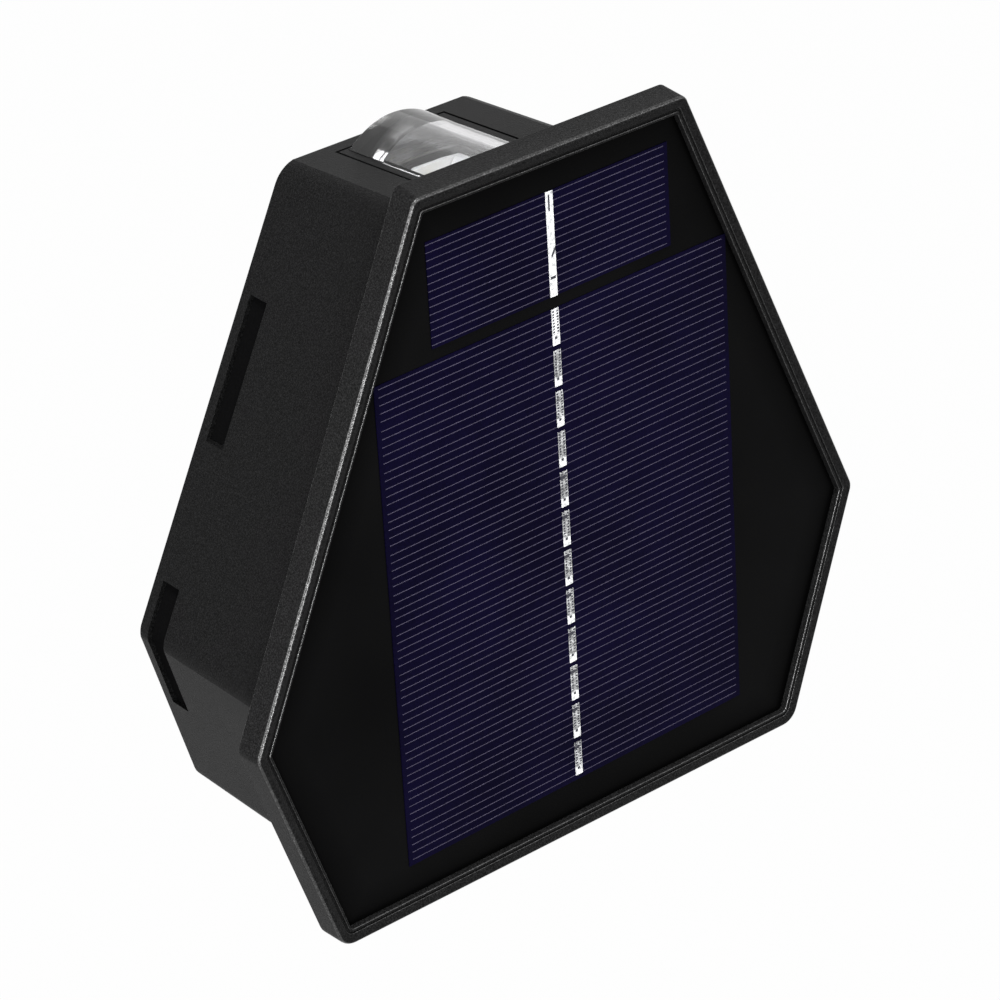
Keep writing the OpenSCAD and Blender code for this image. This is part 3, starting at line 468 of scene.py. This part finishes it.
def wire_sleeve(name, tint):
    """Slightly wavy plastic sleeve of a wire."""
    f = Finish(name)
    place = f.place()
    wavy = f.noise(place, 1.4 * MM, 2.0)
    tone = f.ramp(wavy, (0.3, scaled(tint, 0.85)), (0.7, scaled(tint, 1.1)))
    return f.surface(Base_Color=tone, Roughness=(wavy - 0.5) * 0.1 + 0.38,
                     Normal=f.bump(wavy, 0.01 * MM))


def wrap_film(name, tint, band):
    """Shrink film of the battery: plain, with a paler band at one end."""
    f = Finish(name)
    place = f.place()
    x, _, _ = f.axes(place)
    wavy = f.noise(place, 3 * MM, 3.0)
    film = f.ramp(wavy, (0.3, scaled(tint, 0.9)), (0.7, scaled(tint, 1.1)))
    return f.surface(Base_Color=f.mix(x > BAND_FROM, film, rgba(band)),
                     Roughness=(wavy - 0.5) * 0.12 + 0.26, Normal=f.bump(wavy, 0.03 * MM))


def clear_acrylic(name, box):
    """Clear moulded lens: a faint flow pattern under a polished surface, with painted shade in its
    tint towards its wall end and over its crown.
    """
    f = Finish(name)
    place = f.place()
    x, y, _ = f.axes(place)
    flow = f.noise(place, 9 * MM)
    across = abs(x) * (1.0 / box[1].x)
    # Painted shade: the tint darkens the lens towards its wall end and greys its crown
    clear = (y - box[1].y) * (-1.0 / SHADE_FADE) - across * SHADE_SIDE - SHADE_REACH / SHADE_FADE
    crown = across * CROWN_SIDE + CROWN + (flow - 0.5) * 0.1
    tone = f.ramp(clear.least(crown), (0.0, (0.03, 0.03, 0.03)), (0.45, (0.46, 0.46, 0.47)),
                  (0.8, (0.97, 0.97, 0.98)))
    return f.surface(Base_Color=tone, Roughness=(flow - 0.5) * 0.02 + 0.02,
                     Transmission_Weight=1.0, IOR=ACRYLIC_IOR, Specular_IOR_Level=0.25,
                     Normal=f.bump(flow, 0.02 * MM))


def white_moulding(name, tint, roughness):
    """Glossy white plastic of the reflectors."""
    f = Finish(name)
    place = f.place()
    soft = f.noise(place, 3 * MM, 3.0)
    fine = f.noise(place, 0.25 * MM, 2.0)
    tone = f.ramp(soft, (0.3, scaled(tint, 0.94)), (0.7, scaled(tint, 1.04)))
    return f.surface(Base_Color=tone, Roughness=(fine - 0.5) * 0.1 + roughness,
                     Normal=f.bump(fine, 0.006 * MM))


def phosphor(name):
    """Yellow phosphor dot in a white package."""
    f = Finish(name)
    place = f.place()
    fine = f.noise(place, 0.3 * MM, 2.0)
    tone = f.ramp(fine, (0.3, (0.78, 0.62, 0.20)), (0.7, (0.92, 0.76, 0.30)))
    return f.surface(Base_Color=tone, Roughness=(fine - 0.5) * 0.1 + 0.4,
                     Normal=f.bump(fine, 0.01 * MM))


def panel_film(name, tint, corners):
    """Black backing under the clear film: a faint weave, with painted shade that darkens it towards
    the rim.
    """
    f = Finish(name)
    place = f.place()
    x, _, z = f.axes(place)
    haze = f.noise(place, 30 * MM, 2.0)
    weave = f.noise(place, 0.35 * MM, 1.0)
    inner = None
    for a, b in zip(corners, corners[1:] + corners[:1]):
        way = (b - a).normalized()
        side = (x - a.x) * -way.y + (z - a.y) * way.x
        inner = side if inner is None else inner.least(side)
    # Painted shade: the backing darkens within a band along the rim
    shade = f.ramp(inner * (1.0 / RIM_SHADE_WIDTH), (0.0, grey(0.30)), (0.35, grey(0.62)),
                   (1.0, grey(1.0)))
    tone = f.ramp(haze * 0.6 + weave * 0.4, (0.35, scaled(tint, 0.7)), (0.65, scaled(tint, 1.3)))
    deep = f.node("ShaderNodeMix", {"data_type": "RGBA", "blend_type": "MULTIPLY"},
                  {"Factor": 1.0, 6: tone, 7: shade}, out=2)
    return f.surface(Base_Color=deep, Roughness=(weave - 0.5) * 0.08 + 0.36,
                     Normal=f.bump(weave, 0.003 * MM), Specular_IOR_Level=FILM_GLOSS)


def cell_place(f, box, turn):
    """Distances along and across a cell from its middle, on the cell's own turned axes."""
    x, _, z = f.axes(f.place())
    middle = (box[0] + box[1]) / 2
    dx, dz = x - middle.x, z - middle.z
    return (dx * math.cos(turn) + dz * math.sin(turn), dz * math.cos(turn) - dx * math.sin(turn))


def cell_size(box, turn):
    """Width and height of a cell whose box is given with the cell turned."""
    wide, high = box[1].x - box[0].x, box[1].z - box[0].z
    c, s = math.cos(turn), math.sin(turn)
    return (wide * c - high * s) / math.cos(2 * turn), (high * c - wide * s) / math.cos(2 * turn)


def silicon(name, box, looks, first, pitch, groups, group, left):
    """Cell with printed fingers: groups of thin lines that stop short of its edges."""
    f = Finish(name)
    place = f.place()
    wide, high = cell_size(box, looks.cell_turn)
    along, across = cell_place(f, box, looks.cell_turn)
    group_h = high / groups if groups > 1 else group * pitch
    down = (across * -1.0 + (high / 2 - first + pitch / 2)) % group_h
    line = ((abs(down % pitch - pitch / 2) < looks.finger_w / 2) * (down < group * pitch)
            * (abs(across) < high / 2 - first / 2))
    inside = (along > left - wide / 2) * (along < wide / 2 - looks.finger_margin)
    cloud = f.noise(place, 22 * MM, 3.0)
    grainy = f.noise(place, 0.45 * MM, 2.0)
    body = f.ramp(cloud * 0.6 + grainy * 0.4, (0.38, scaled(looks.cell_tint, 0.75)),
                  (0.62, scaled(looks.cell_tint, 1.3)))
    paste = f.ramp(grainy, (0.3, scaled(looks.finger_tint, 0.75)),
                   (0.7, scaled(looks.finger_tint, 1.25)))
    fingers = line * inside
    return f.surface(Base_Color=f.mix(fingers, body, paste),
                     Roughness=fingers * 0.2 + (grainy - 0.5) * 0.05 + 0.34,
                     Normal=f.bump(fingers, 0.006 * MM), Specular_IOR_Level=FILM_GLOSS)


def tinned(name, looks):
    """Crinkled solder ribbon: bright tin, dotted flux along its edges and a few dark marks."""
    f = Finish(name)
    place = f.place()
    tint = tuple(looks.ribbon_tint)
    _, high = cell_size(LOWER_CELL_BOX, looks.cell_turn)
    along, across = cell_place(f, LOWER_CELL_BOX, looks.cell_turn)
    below = across * -1.0 + high / 2
    lower = below > -0.5 * MM
    pitch = high / looks.strips
    step = below % pitch
    side = abs(along)
    wavy = f.noise(place, 0.8 * MM)
    fine = f.noise(place, 0.35 * MM)
    dots = ((abs(side - FLUX_LINE * looks.ribbon_w) < FLUX_HALF)
            * ((step + wavy * 0.5 * MM) % DOT_PITCH < DOT_LENGTH) * (step < DOTTED * pitch)
            * lower)
    bar = ((abs(step - BAR_DOWN) < BAR_HALF) * (along < 0.35 * MM) * (below > BAR_FROM * pitch)
           * lower)
    speck = ((abs(step - SPECK_DOWN * pitch) < SPECK_HALF) * (abs(along + 0.1 * MM) < SPECK_HALF)
             * lower)
    slit = (abs(along + SLIT_SIDE) < SLIT_HALF) * (below < -SLIT_LOW) * (below > -SLIT_HIGH)
    hook = (abs(below + HOOK_UP + along * HOOK_SLOPE) < HOOK_HALF) * (along > -0.2 * MM)
    mark = (abs(below + MARK_UP) < MARK_HALF) * (side < MARK_SIDE)
    dark = (dots + bar + speck + slit + hook + mark).clamped()
    crinkle = wavy * 0.5 + fine * 0.5
    pale = f.ramp(crinkle, (0.36, scaled(tint, 0.45)), (0.50, scaled(tint, 0.9)),
                  (0.62, scaled(tint, 1.45)))
    dull = f.ramp(crinkle, (0.36, scaled(tint, 0.10)), (0.50, scaled(tint, 0.36)),
                  (0.62, scaled(tint, 0.8)))
    dulled = lower * (step < GREY_SHARE * pitch) * (below > GREY_FROM * pitch)
    tone = f.mix(dark, f.mix(dulled, pale, dull), rgba(MARK_TINT))
    return f.surface(Base_Color=tone, Metallic=(wavy - 0.5) * 0.2 + 0.15,
                     Roughness=(fine - 0.5) * 0.3 + 0.40, Normal=f.bump(wavy, 0.05 * MM))


def painted_steel(name, tint):
    """Powder coat of the wall bracket."""
    f = Finish(name)
    place = f.place()
    peel = f.noise(place, 0.5 * MM, 2.0)
    wear = f.noise(place, 6 * MM, 4.0)
    tone = f.ramp(wear, (0.3, scaled(tint, 0.85)), (0.75, scaled(tint, 1.2)))
    return f.surface(Base_Color=tone, Roughness=(peel - 0.5) * 0.16 + 0.42,
                     Normal=f.bump(peel, 0.015 * MM))


def board_corners():
    """The backing board's six corners in x and z, counter-clockwise as seen from the front."""
    points = [vert.co for vert in frame["nodes"]["panel_board"].data.vertices]
    low, high = BOARD_BOX
    upper = [p for p in points if p.z > high.z - CORNER_GAP]
    lowest = [p for p in points if p.z < low.z + CORNER_GAP]
    ends = (min(points, key=lambda p: p.x), min(lowest, key=lambda p: p.x),
            max(lowest, key=lambda p: p.x), max(points, key=lambda p: p.x),
            max(upper, key=lambda p: p.x), min(upper, key=lambda p: p.x))
    return [Vector((p.x, p.z)) for p in ends]


def make_finishes(plastic, panel):
    """One material for each of the record's material slots, and one for the upper cell."""
    tint = tuple(plastic.tint)
    upper_lines = round((cell_size(UPPER_CELL_BOX, panel.cell_turn)[1] - 2 * panel.upper_first)
                        / panel.upper_pitch) + 1
    FINISHES.update({
        "black_plastic": moulded_plastic("black_plastic_finish", tint, plastic.gloss_roughness,
                                         plastic.grain),
        "foam": foam_tape("foam_finish", grey(0.05)),
        "panel_black": panel_film("panel_black_finish", tuple(panel.board_tint), board_corners()),
        "tinned_ribbon": tinned("tinned_ribbon_finish", panel),
        "red_wire": wire_sleeve("red_wire_finish", (0.42, 0.02, 0.02)),
        "white_wire": wire_sleeve("white_wire_finish", (0.7, 0.7, 0.68)),
        "screw_steel": metal("screw_steel_finish", (0.62, 0.63, 0.65), 0.3),
        "seal": rubber("seal_finish", grey(0.09)),
        "clear_lens": clear_acrylic("clear_lens_finish", LENS_BOX),
        "reflector_white": white_moulding("reflector_white_finish", (0.84, 0.85, 0.86), 0.22),
        "board_white": lacquered_board("board_white_finish", (0.78, 0.78, 0.75),
                                       (0.70, 0.70, 0.66)),
        "board_green": lacquered_board("board_green_finish", (0.012, 0.10, 0.035),
                                       (0.03, 0.19, 0.06)),
        "led_yellow": phosphor("led_yellow_finish"),
        "smoked_guide": moulded_plastic("smoked_guide_finish", (0.0022, 0.0022, 0.0023), 0.6,
                                        0.5 * MM, 0.001 * MM, 0.08, level=0.02, bend=1.08),
        "part_dark": moulded_plastic("part_dark_finish", grey(0.02), 0.4, 0.3 * MM),
        "tray_plastic": moulded_plastic("tray_plastic_finish", grey(0.03), 0.5, 0.35 * MM),
        "battery_wrap": wrap_film("battery_wrap_finish", (0.02, 0.13, 0.34), (0.6, 0.62, 0.64)),
        "contact_steel": metal("contact_steel_finish", grey(0.66), 0.24, (1.0, 1.0, 6.0)),
        "button_rubber": rubber("button_rubber_finish", grey(0.03)),
        "bracket_paint": painted_steel("bracket_paint_finish", (0.022, 0.023, 0.025)),
        "upper_silicon": silicon("upper_silicon_finish", UPPER_CELL_BOX, panel,
                                 panel.upper_first, panel.upper_pitch, 1, upper_lines, 0.0),
        "silicon_cell": silicon("lower_silicon_finish", LOWER_CELL_BOX, panel,
                                panel.lower_first, panel.lower_pitch, panel.strips, panel.group,
                                panel.finger_margin),
    })


def slot_of(node):
    """The record's material slot of a CAD node."""
    for part in frame["record"]["subparts"]:
        if part.get("node") == node or part.get("name") == node:
            return part.get("material_slot") or part.get("material")
    raise RuntimeError(f"the record gives no material for {node}")


def coat(obj, finish):
    """Puts one finish on every slot of an object."""
    if not obj.material_slots:
        obj.data.materials.append(finish)
    for slot in obj.material_slots:
        slot.material = finish


def only(obj):
    """Selects one object and nothing else."""
    if bpy.context.object and bpy.context.object.mode != "OBJECT":
        bpy.ops.object.mode_set(mode="OBJECT")
    bpy.ops.object.select_all(action="DESELECT")
    obj.select_set(True)
    bpy.context.view_layer.objects.active = obj


def pick(obj, test):
    """In edit mode, selects the edges that pass a test. Returns how many."""
    mesh = bmesh.from_edit_mesh(obj.data)
    bpy.ops.mesh.select_mode(type="EDGE")
    bpy.ops.mesh.select_all(action="DESELECT")
    chosen = [e for e in mesh.edges if test(e)]
    for e in chosen:
        e.select = True
    mesh.select_flush_mode()
    bmesh.update_edit_mesh(obj.data)
    return len(chosen)


def sharp_outer(e):
    """An outward edge that turns by more than the limit."""
    return len(e.link_faces) == 2 and e.is_convex and e.calc_face_angle(0.0) > SHARP


def bead_edge(drop):
    """A test for the two upper edges of the bead around the panel."""
    level = CAD_BOX[0][1] + drop

    def test(e):
        return sharp_outer(e) and all(abs(v.co.y - level) < LEVEL_GAP for v in e.verts)

    return test


def crease(e):
    """A long edge of the housing's wall that a corner's round leaves standing."""
    way = e.verts[1].co - e.verts[0].co
    return (len(e.link_faces) == 2 and e.is_convex and abs(way.y) > CREASE_RUN
            and CREASE_TURN[0] < e.calc_face_angle(0.0) < CREASE_TURN[1])


def solid_copy(node, name):
    """A copy of a CAD node whose loose triangles are merged into whole faces."""
    source = frame["nodes"][node]
    obj = bpy.data.objects.new(name, source.data.copy())
    bpy.context.scene.collection.objects.link(obj)
    only(obj)
    bpy.ops.object.mode_set(mode="EDIT")
    bpy.ops.mesh.select_all(action="SELECT")
    bpy.ops.mesh.remove_doubles(threshold=MERGE_GAP)
    bpy.ops.mesh.customdata_custom_splitnormals_clear()
    bpy.ops.mesh.dissolve_limited(angle_limit=FLAT)
    bpy.ops.object.mode_set(mode="OBJECT")
    return obj


def ease(obj, radius, steps=2, test=sharp_outer):
    """Rounds the edges that a test picks."""
    only(obj)
    bpy.ops.object.mode_set(mode="EDIT")
    if not pick(obj, test):
        raise RuntimeError(f"{obj.name} has no edge to round")
    bpy.ops.mesh.bevel(offset=radius, offset_type="OFFSET", segments=steps, profile=0.5,
                       affect="EDGES", clamp_overlap=True, miter_outer="SHARP")
    bpy.ops.object.mode_set(mode="OBJECT")


def smooth(obj):
    """Smooth shading that leaves broad faces flat."""
    only(obj)
    bpy.ops.object.shade_smooth_by_angle(angle=SMOOTH)
    even = obj.modifiers.new("even_faces", "WEIGHTED_NORMAL")
    even.keep_sharp = True
    bpy.ops.object.modifier_apply(modifier=even.name)


def stand_for(obj, node, finish):
    """Finishes a piece that stands for a CAD node: its shading, coat, body and slot."""
    smooth(obj)
    coat(obj, finish)
    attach(obj, frame["nodes"][node]["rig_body"])
    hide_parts(node)


def eased_copy(node, radius, steps=2):
    """The usual treatment of a moulded or machined CAD node."""
    obj = solid_copy(node, node + "_piece")
    ease(obj, radius, steps)
    stand_for(obj, node, FINISHES[slot_of(node)])


def rubbed_sheen_plastic(name, tint, plastic):
    """The plastic of a piece whose edges are rubbed bright, with a painted sheen standing in for
    their highlight.
    """
    return moulded_plastic(name, tuple(tint), plastic.gloss_roughness, plastic.grain,
                           worn_sheen=plastic.wear)


class PieceOperator(bpy.types.Operator):
    """What the operators have in common"""

    bl_options = {"REGISTER", "UNDO"}


class WALLLIGHT_OT_finishes(PieceOperator):
    """Make the materials and lay them on every CAD node"""

    bl_idname = "wall_light.finishes"
    bl_label = "Finishes"

    def execute(self, context):
        scene = context.scene
        make_finishes(scene.wall_light_plastic, scene.wall_light_panel)
        for name, node in frame["nodes"].items():
            coat(node, FINISHES[slot_of(name)])
        coat(frame["nodes"]["upper_cell"], FINISHES["upper_silicon"])
        return {"FINISHED"}


class WALLLIGHT_OT_front_frame(PieceOperator):
    """Round the edges of the front frame"""

    bl_idname = "wall_light.front_frame"
    bl_label = "Front frame"

    def execute(self, context):
        plastic = context.scene.wall_light_plastic
        finish = rubbed_sheen_plastic("frame_plastic_finish", plastic.frame_lit_tint, plastic)
        obj = solid_copy("front_bezel", "front_bezel_piece")
        ease(obj, plastic.bead_edge, 3, bead_edge(plastic.bead_drop))
        ease(obj, plastic.edge)
        stand_for(obj, "front_bezel", finish)
        return {"FINISHED"}


class WALLLIGHT_OT_housing(PieceOperator):
    """Round the edges of the housing, its light slots and its decks"""

    bl_idname = "wall_light.housing"
    bl_label = "Housing"

    def execute(self, context):
        plastic = context.scene.wall_light_plastic
        finish = rubbed_sheen_plastic("housing_plastic_finish", plastic.tint, plastic)
        obj = solid_copy("rear_housing", "rear_housing_piece")
        ease(obj, plastic.edge, test=lambda e: sharp_outer(e) or crease(e))
        stand_for(obj, "rear_housing", finish)
        return {"FINISHED"}


class WALLLIGHT_OT_lenses(PieceOperator):
    """Polish the two lenses and round the frames around them"""

    bl_idname = "wall_light.lenses"
    bl_label = "Lenses"

    def execute(self, context):
        edge = context.scene.wall_light_plastic.edge
        for side in ("top", "bottom"):
            eased_copy(side + "_lens", edge)
            eased_copy(side + "_lens_frame", edge)
        return {"FINISHED"}


class WALLLIGHT_OT_reflectors(PieceOperator):
    """Round the edges of the reflectors and the LED packages under the lenses"""

    bl_idname = "wall_light.reflectors"
    bl_label = "Reflectors"

    def execute(self, context):
        for side in ("top", "bottom"):
            eased_copy(side + "_reflector", REFLECTOR_EDGE)
            eased_copy(side + "_leds", SMALL_EDGE)
        return {"FINISHED"}


class WALLLIGHT_OT_windows(PieceOperator):
    """Round the edges of the four light windows"""

    bl_idname = "wall_light.windows"
    bl_label = "Light windows"

    def execute(self, context):
        for side in ("left", "right"):
            for level in ("upper", "lower"):
                eased_copy(f"{side}_{level}_guide", SMALL_EDGE)
        return {"FINISHED"}


class WALLLIGHT_OT_back(PieceOperator):
    """Round the edges of the rear cover, its screws, the button and the wall bracket"""

    bl_idname = "wall_light.back"
    bl_label = "Back and bracket"

    def execute(self, context):
        edge = context.scene.wall_light_plastic.edge
        eased_copy("rear_cover", edge)
        eased_copy("mode_button", BUTTON_ROUND * edge, steps=3)
        eased_copy("wall_bracket", edge)
        eased_copy("cover_screws", SMALL_EDGE)
        return {"FINISHED"}


class WALLLIGHT_OT_studio(PieceOperator):
    """Set the camera, the lamps and the pale floor"""

    bl_idname = "wall_light.studio"
    bl_label = "Studio"

    def execute(self, context):
        studio = context.scene.wall_light_studio
        set_camera(studio)
        set_floor(studio)
        set_lamps(studio)
        set_room(studio)
        return {"FINISHED"}


def set_camera(studio):
    camera = bpy.data.objects.new("camera", bpy.data.cameras.new("camera"))
    bpy.context.scene.collection.objects.link(camera)
    camera.data.lens = studio.focal
    camera.data.sensor_width = SENSOR_W
    camera.data.clip_end = CLIP_END
    ahead = Vector((math.sin(studio.yaw) * math.cos(studio.pitch),
                    math.cos(studio.yaw) * math.cos(studio.pitch), -math.sin(studio.pitch)))
    right = ahead.cross(Vector((0, 0, 1))).normalized()
    up = right.cross(ahead)
    c, s = math.cos(studio.roll), math.sin(studio.roll)
    right, up = c * right + s * up, c * up - s * right
    turn = Matrix((right, up, -ahead)).transposed()
    camera.matrix_world = Matrix.Translation(studio.camera_place) @ turn.to_4x4()
    bpy.context.scene.camera = camera


def backdrop_finish(studio):
    """Pale matt floor that looks white to the camera and in reflections, and keeps shadows."""
    f = Finish("floor_finish")
    rays = f.tree.nodes.new("ShaderNodeLightPath")
    camera, clear, gloss = (Socket(f, rays.outputs[key]) for key in WHITE_RAYS)
    seen = (camera + clear + gloss).clamped()
    matt = f.node("ShaderNodeBsdfDiffuse", {}, {"Color": rgba(studio.floor_tint)})
    glow = f.node("ShaderNodeEmission", {}, {"Color": (1, 1, 1, 1), "Strength": 1.0})
    f.node_output(f.node("ShaderNodeMixShader", {}, {0: seen * WHITE_SHARE, 1: matt, 2: glow}))
    return f.material


def set_floor(studio):
    """A floor that sweeps up into a backdrop far behind the lamp."""
    bpy.ops.object.select_all(action="DESELECT")
    bpy.ops.mesh.primitive_plane_add(size=1.0, location=(0, 0, studio.floor_z))
    floor = bpy.context.object
    floor.name = "floor"
    bpy.ops.object.mode_set(mode="EDIT")
    bpy.ops.mesh.select_all(action="SELECT")
    bpy.ops.transform.resize(value=(FLOOR_SIDE, FLOOR_SIDE, 1.0))
    pick(floor, lambda e: all(v.co.y > BACKDROP_FROM for v in e.verts))
    bpy.ops.mesh.extrude_region_move(TRANSFORM_OT_translate={"value": (0, 0, BACKDROP_H)})
    pick(floor, lambda e: all(v.co.y > BACKDROP_FROM and v.co.z < BACKDROP_H / 2 for v in e.verts))
    bpy.ops.mesh.bevel(offset=BACKDROP_BEND, segments=BEND_STEPS, affect="EDGES")
    bpy.ops.object.mode_set(mode="OBJECT")
    bpy.ops.object.transform_apply(location=True, rotation=True, scale=True)
    bpy.ops.object.shade_smooth()
    coat(floor, backdrop_finish(studio))


def area_lamp(name, place, width, height, watts):
    data = bpy.data.lights.new(name, "AREA")
    data.shape = "RECTANGLE"
    data.size, data.size_y = width, height
    data.energy = watts
    lamp = bpy.data.objects.new(name, data)
    bpy.context.scene.collection.objects.link(lamp)
    turn = (Vector(LAMP_AIM) - Vector(place)).to_track_quat("-Z", "Y")
    lamp.matrix_world = Matrix.Translation(place) @ turn.to_matrix().to_4x4()


def set_lamps(studio):
    for name, setting, place, width, height in LAMPS:
        area_lamp(name, place, width, height, getattr(studio, setting))


def set_room(studio):
    """Even light on the object, and white where the camera, clear parts and reflections look."""
    world = bpy.data.worlds.new("room")
    bpy.context.scene.world = world
    world.use_nodes = True
    tree = world.node_tree
    tree.nodes.clear()
    rays, first, seen, even, white, choice, end = (tree.nodes.new("ShaderNode" + kind) for kind in (
        "LightPath", "Math", "Math", "Background", "Background", "MixShader", "OutputWorld"))
    first.operation = seen.operation = "MAXIMUM"
    even.inputs["Strength"].default_value = studio.sky
    white.inputs["Strength"].default_value = 1.0
    even.inputs["Color"].default_value = white.inputs["Color"].default_value = (1, 1, 1, 1)
    camera, clear, gloss = (rays.outputs[key] for key in WHITE_RAYS)
    for output, entry in ((camera, first.inputs[0]), (clear, first.inputs[1]),
                          (first.outputs[0], seen.inputs[0]), (gloss, seen.inputs[1]),
                          (seen.outputs[0], choice.inputs[0]), (even.outputs[0], choice.inputs[1]),
                          (white.outputs[0], choice.inputs[2]), (choice.outputs[0], end.inputs[0])):
        tree.links.new(output, entry)


OPERATORS = (WALLLIGHT_OT_finishes, WALLLIGHT_OT_front_frame, WALLLIGHT_OT_housing,
             WALLLIGHT_OT_lenses, WALLLIGHT_OT_reflectors, WALLLIGHT_OT_windows, WALLLIGHT_OT_back,
             WALLLIGHT_OT_studio)


class WALLLIGHT_PT_pieces(bpy.types.Panel):
    """Lists the pieces of the wall light"""

    bl_label = "Solar wall light"
    bl_space_type = "VIEW_3D"
    bl_region_type = "UI"
    bl_category = "Wall light"

    def draw(self, context):
        for operator in OPERATORS:
            self.layout.operator(operator.bl_idname)


def register():
    for _, group in SETTINGS:
        bpy.utils.register_class(group)
    for name, group in SETTINGS:
        setattr(bpy.types.Scene, name, PointerProperty(type=group))
    for operator in OPERATORS:
        bpy.utils.register_class(operator)
    bpy.utils.register_class(WALLLIGHT_PT_pieces)


def unregister():
    bpy.utils.unregister_class(WALLLIGHT_PT_pieces)
    for operator in reversed(OPERATORS):
        bpy.utils.unregister_class(operator)
    for name, group in SETTINGS:
        delattr(bpy.types.Scene, name)
        bpy.utils.unregister_class(group)


def main():
    register()
    bpy.context.scene.view_settings.view_transform = "Standard"
    bpy.ops.wall_light.finishes()
    bpy.ops.wall_light.front_frame()
    bpy.ops.wall_light.housing()
    bpy.ops.wall_light.lenses()
    bpy.ops.wall_light.reflectors()
    bpy.ops.wall_light.windows()
    bpy.ops.wall_light.back()
    bpy.ops.wall_light.studio()


if __name__ == "__main__":
    main()
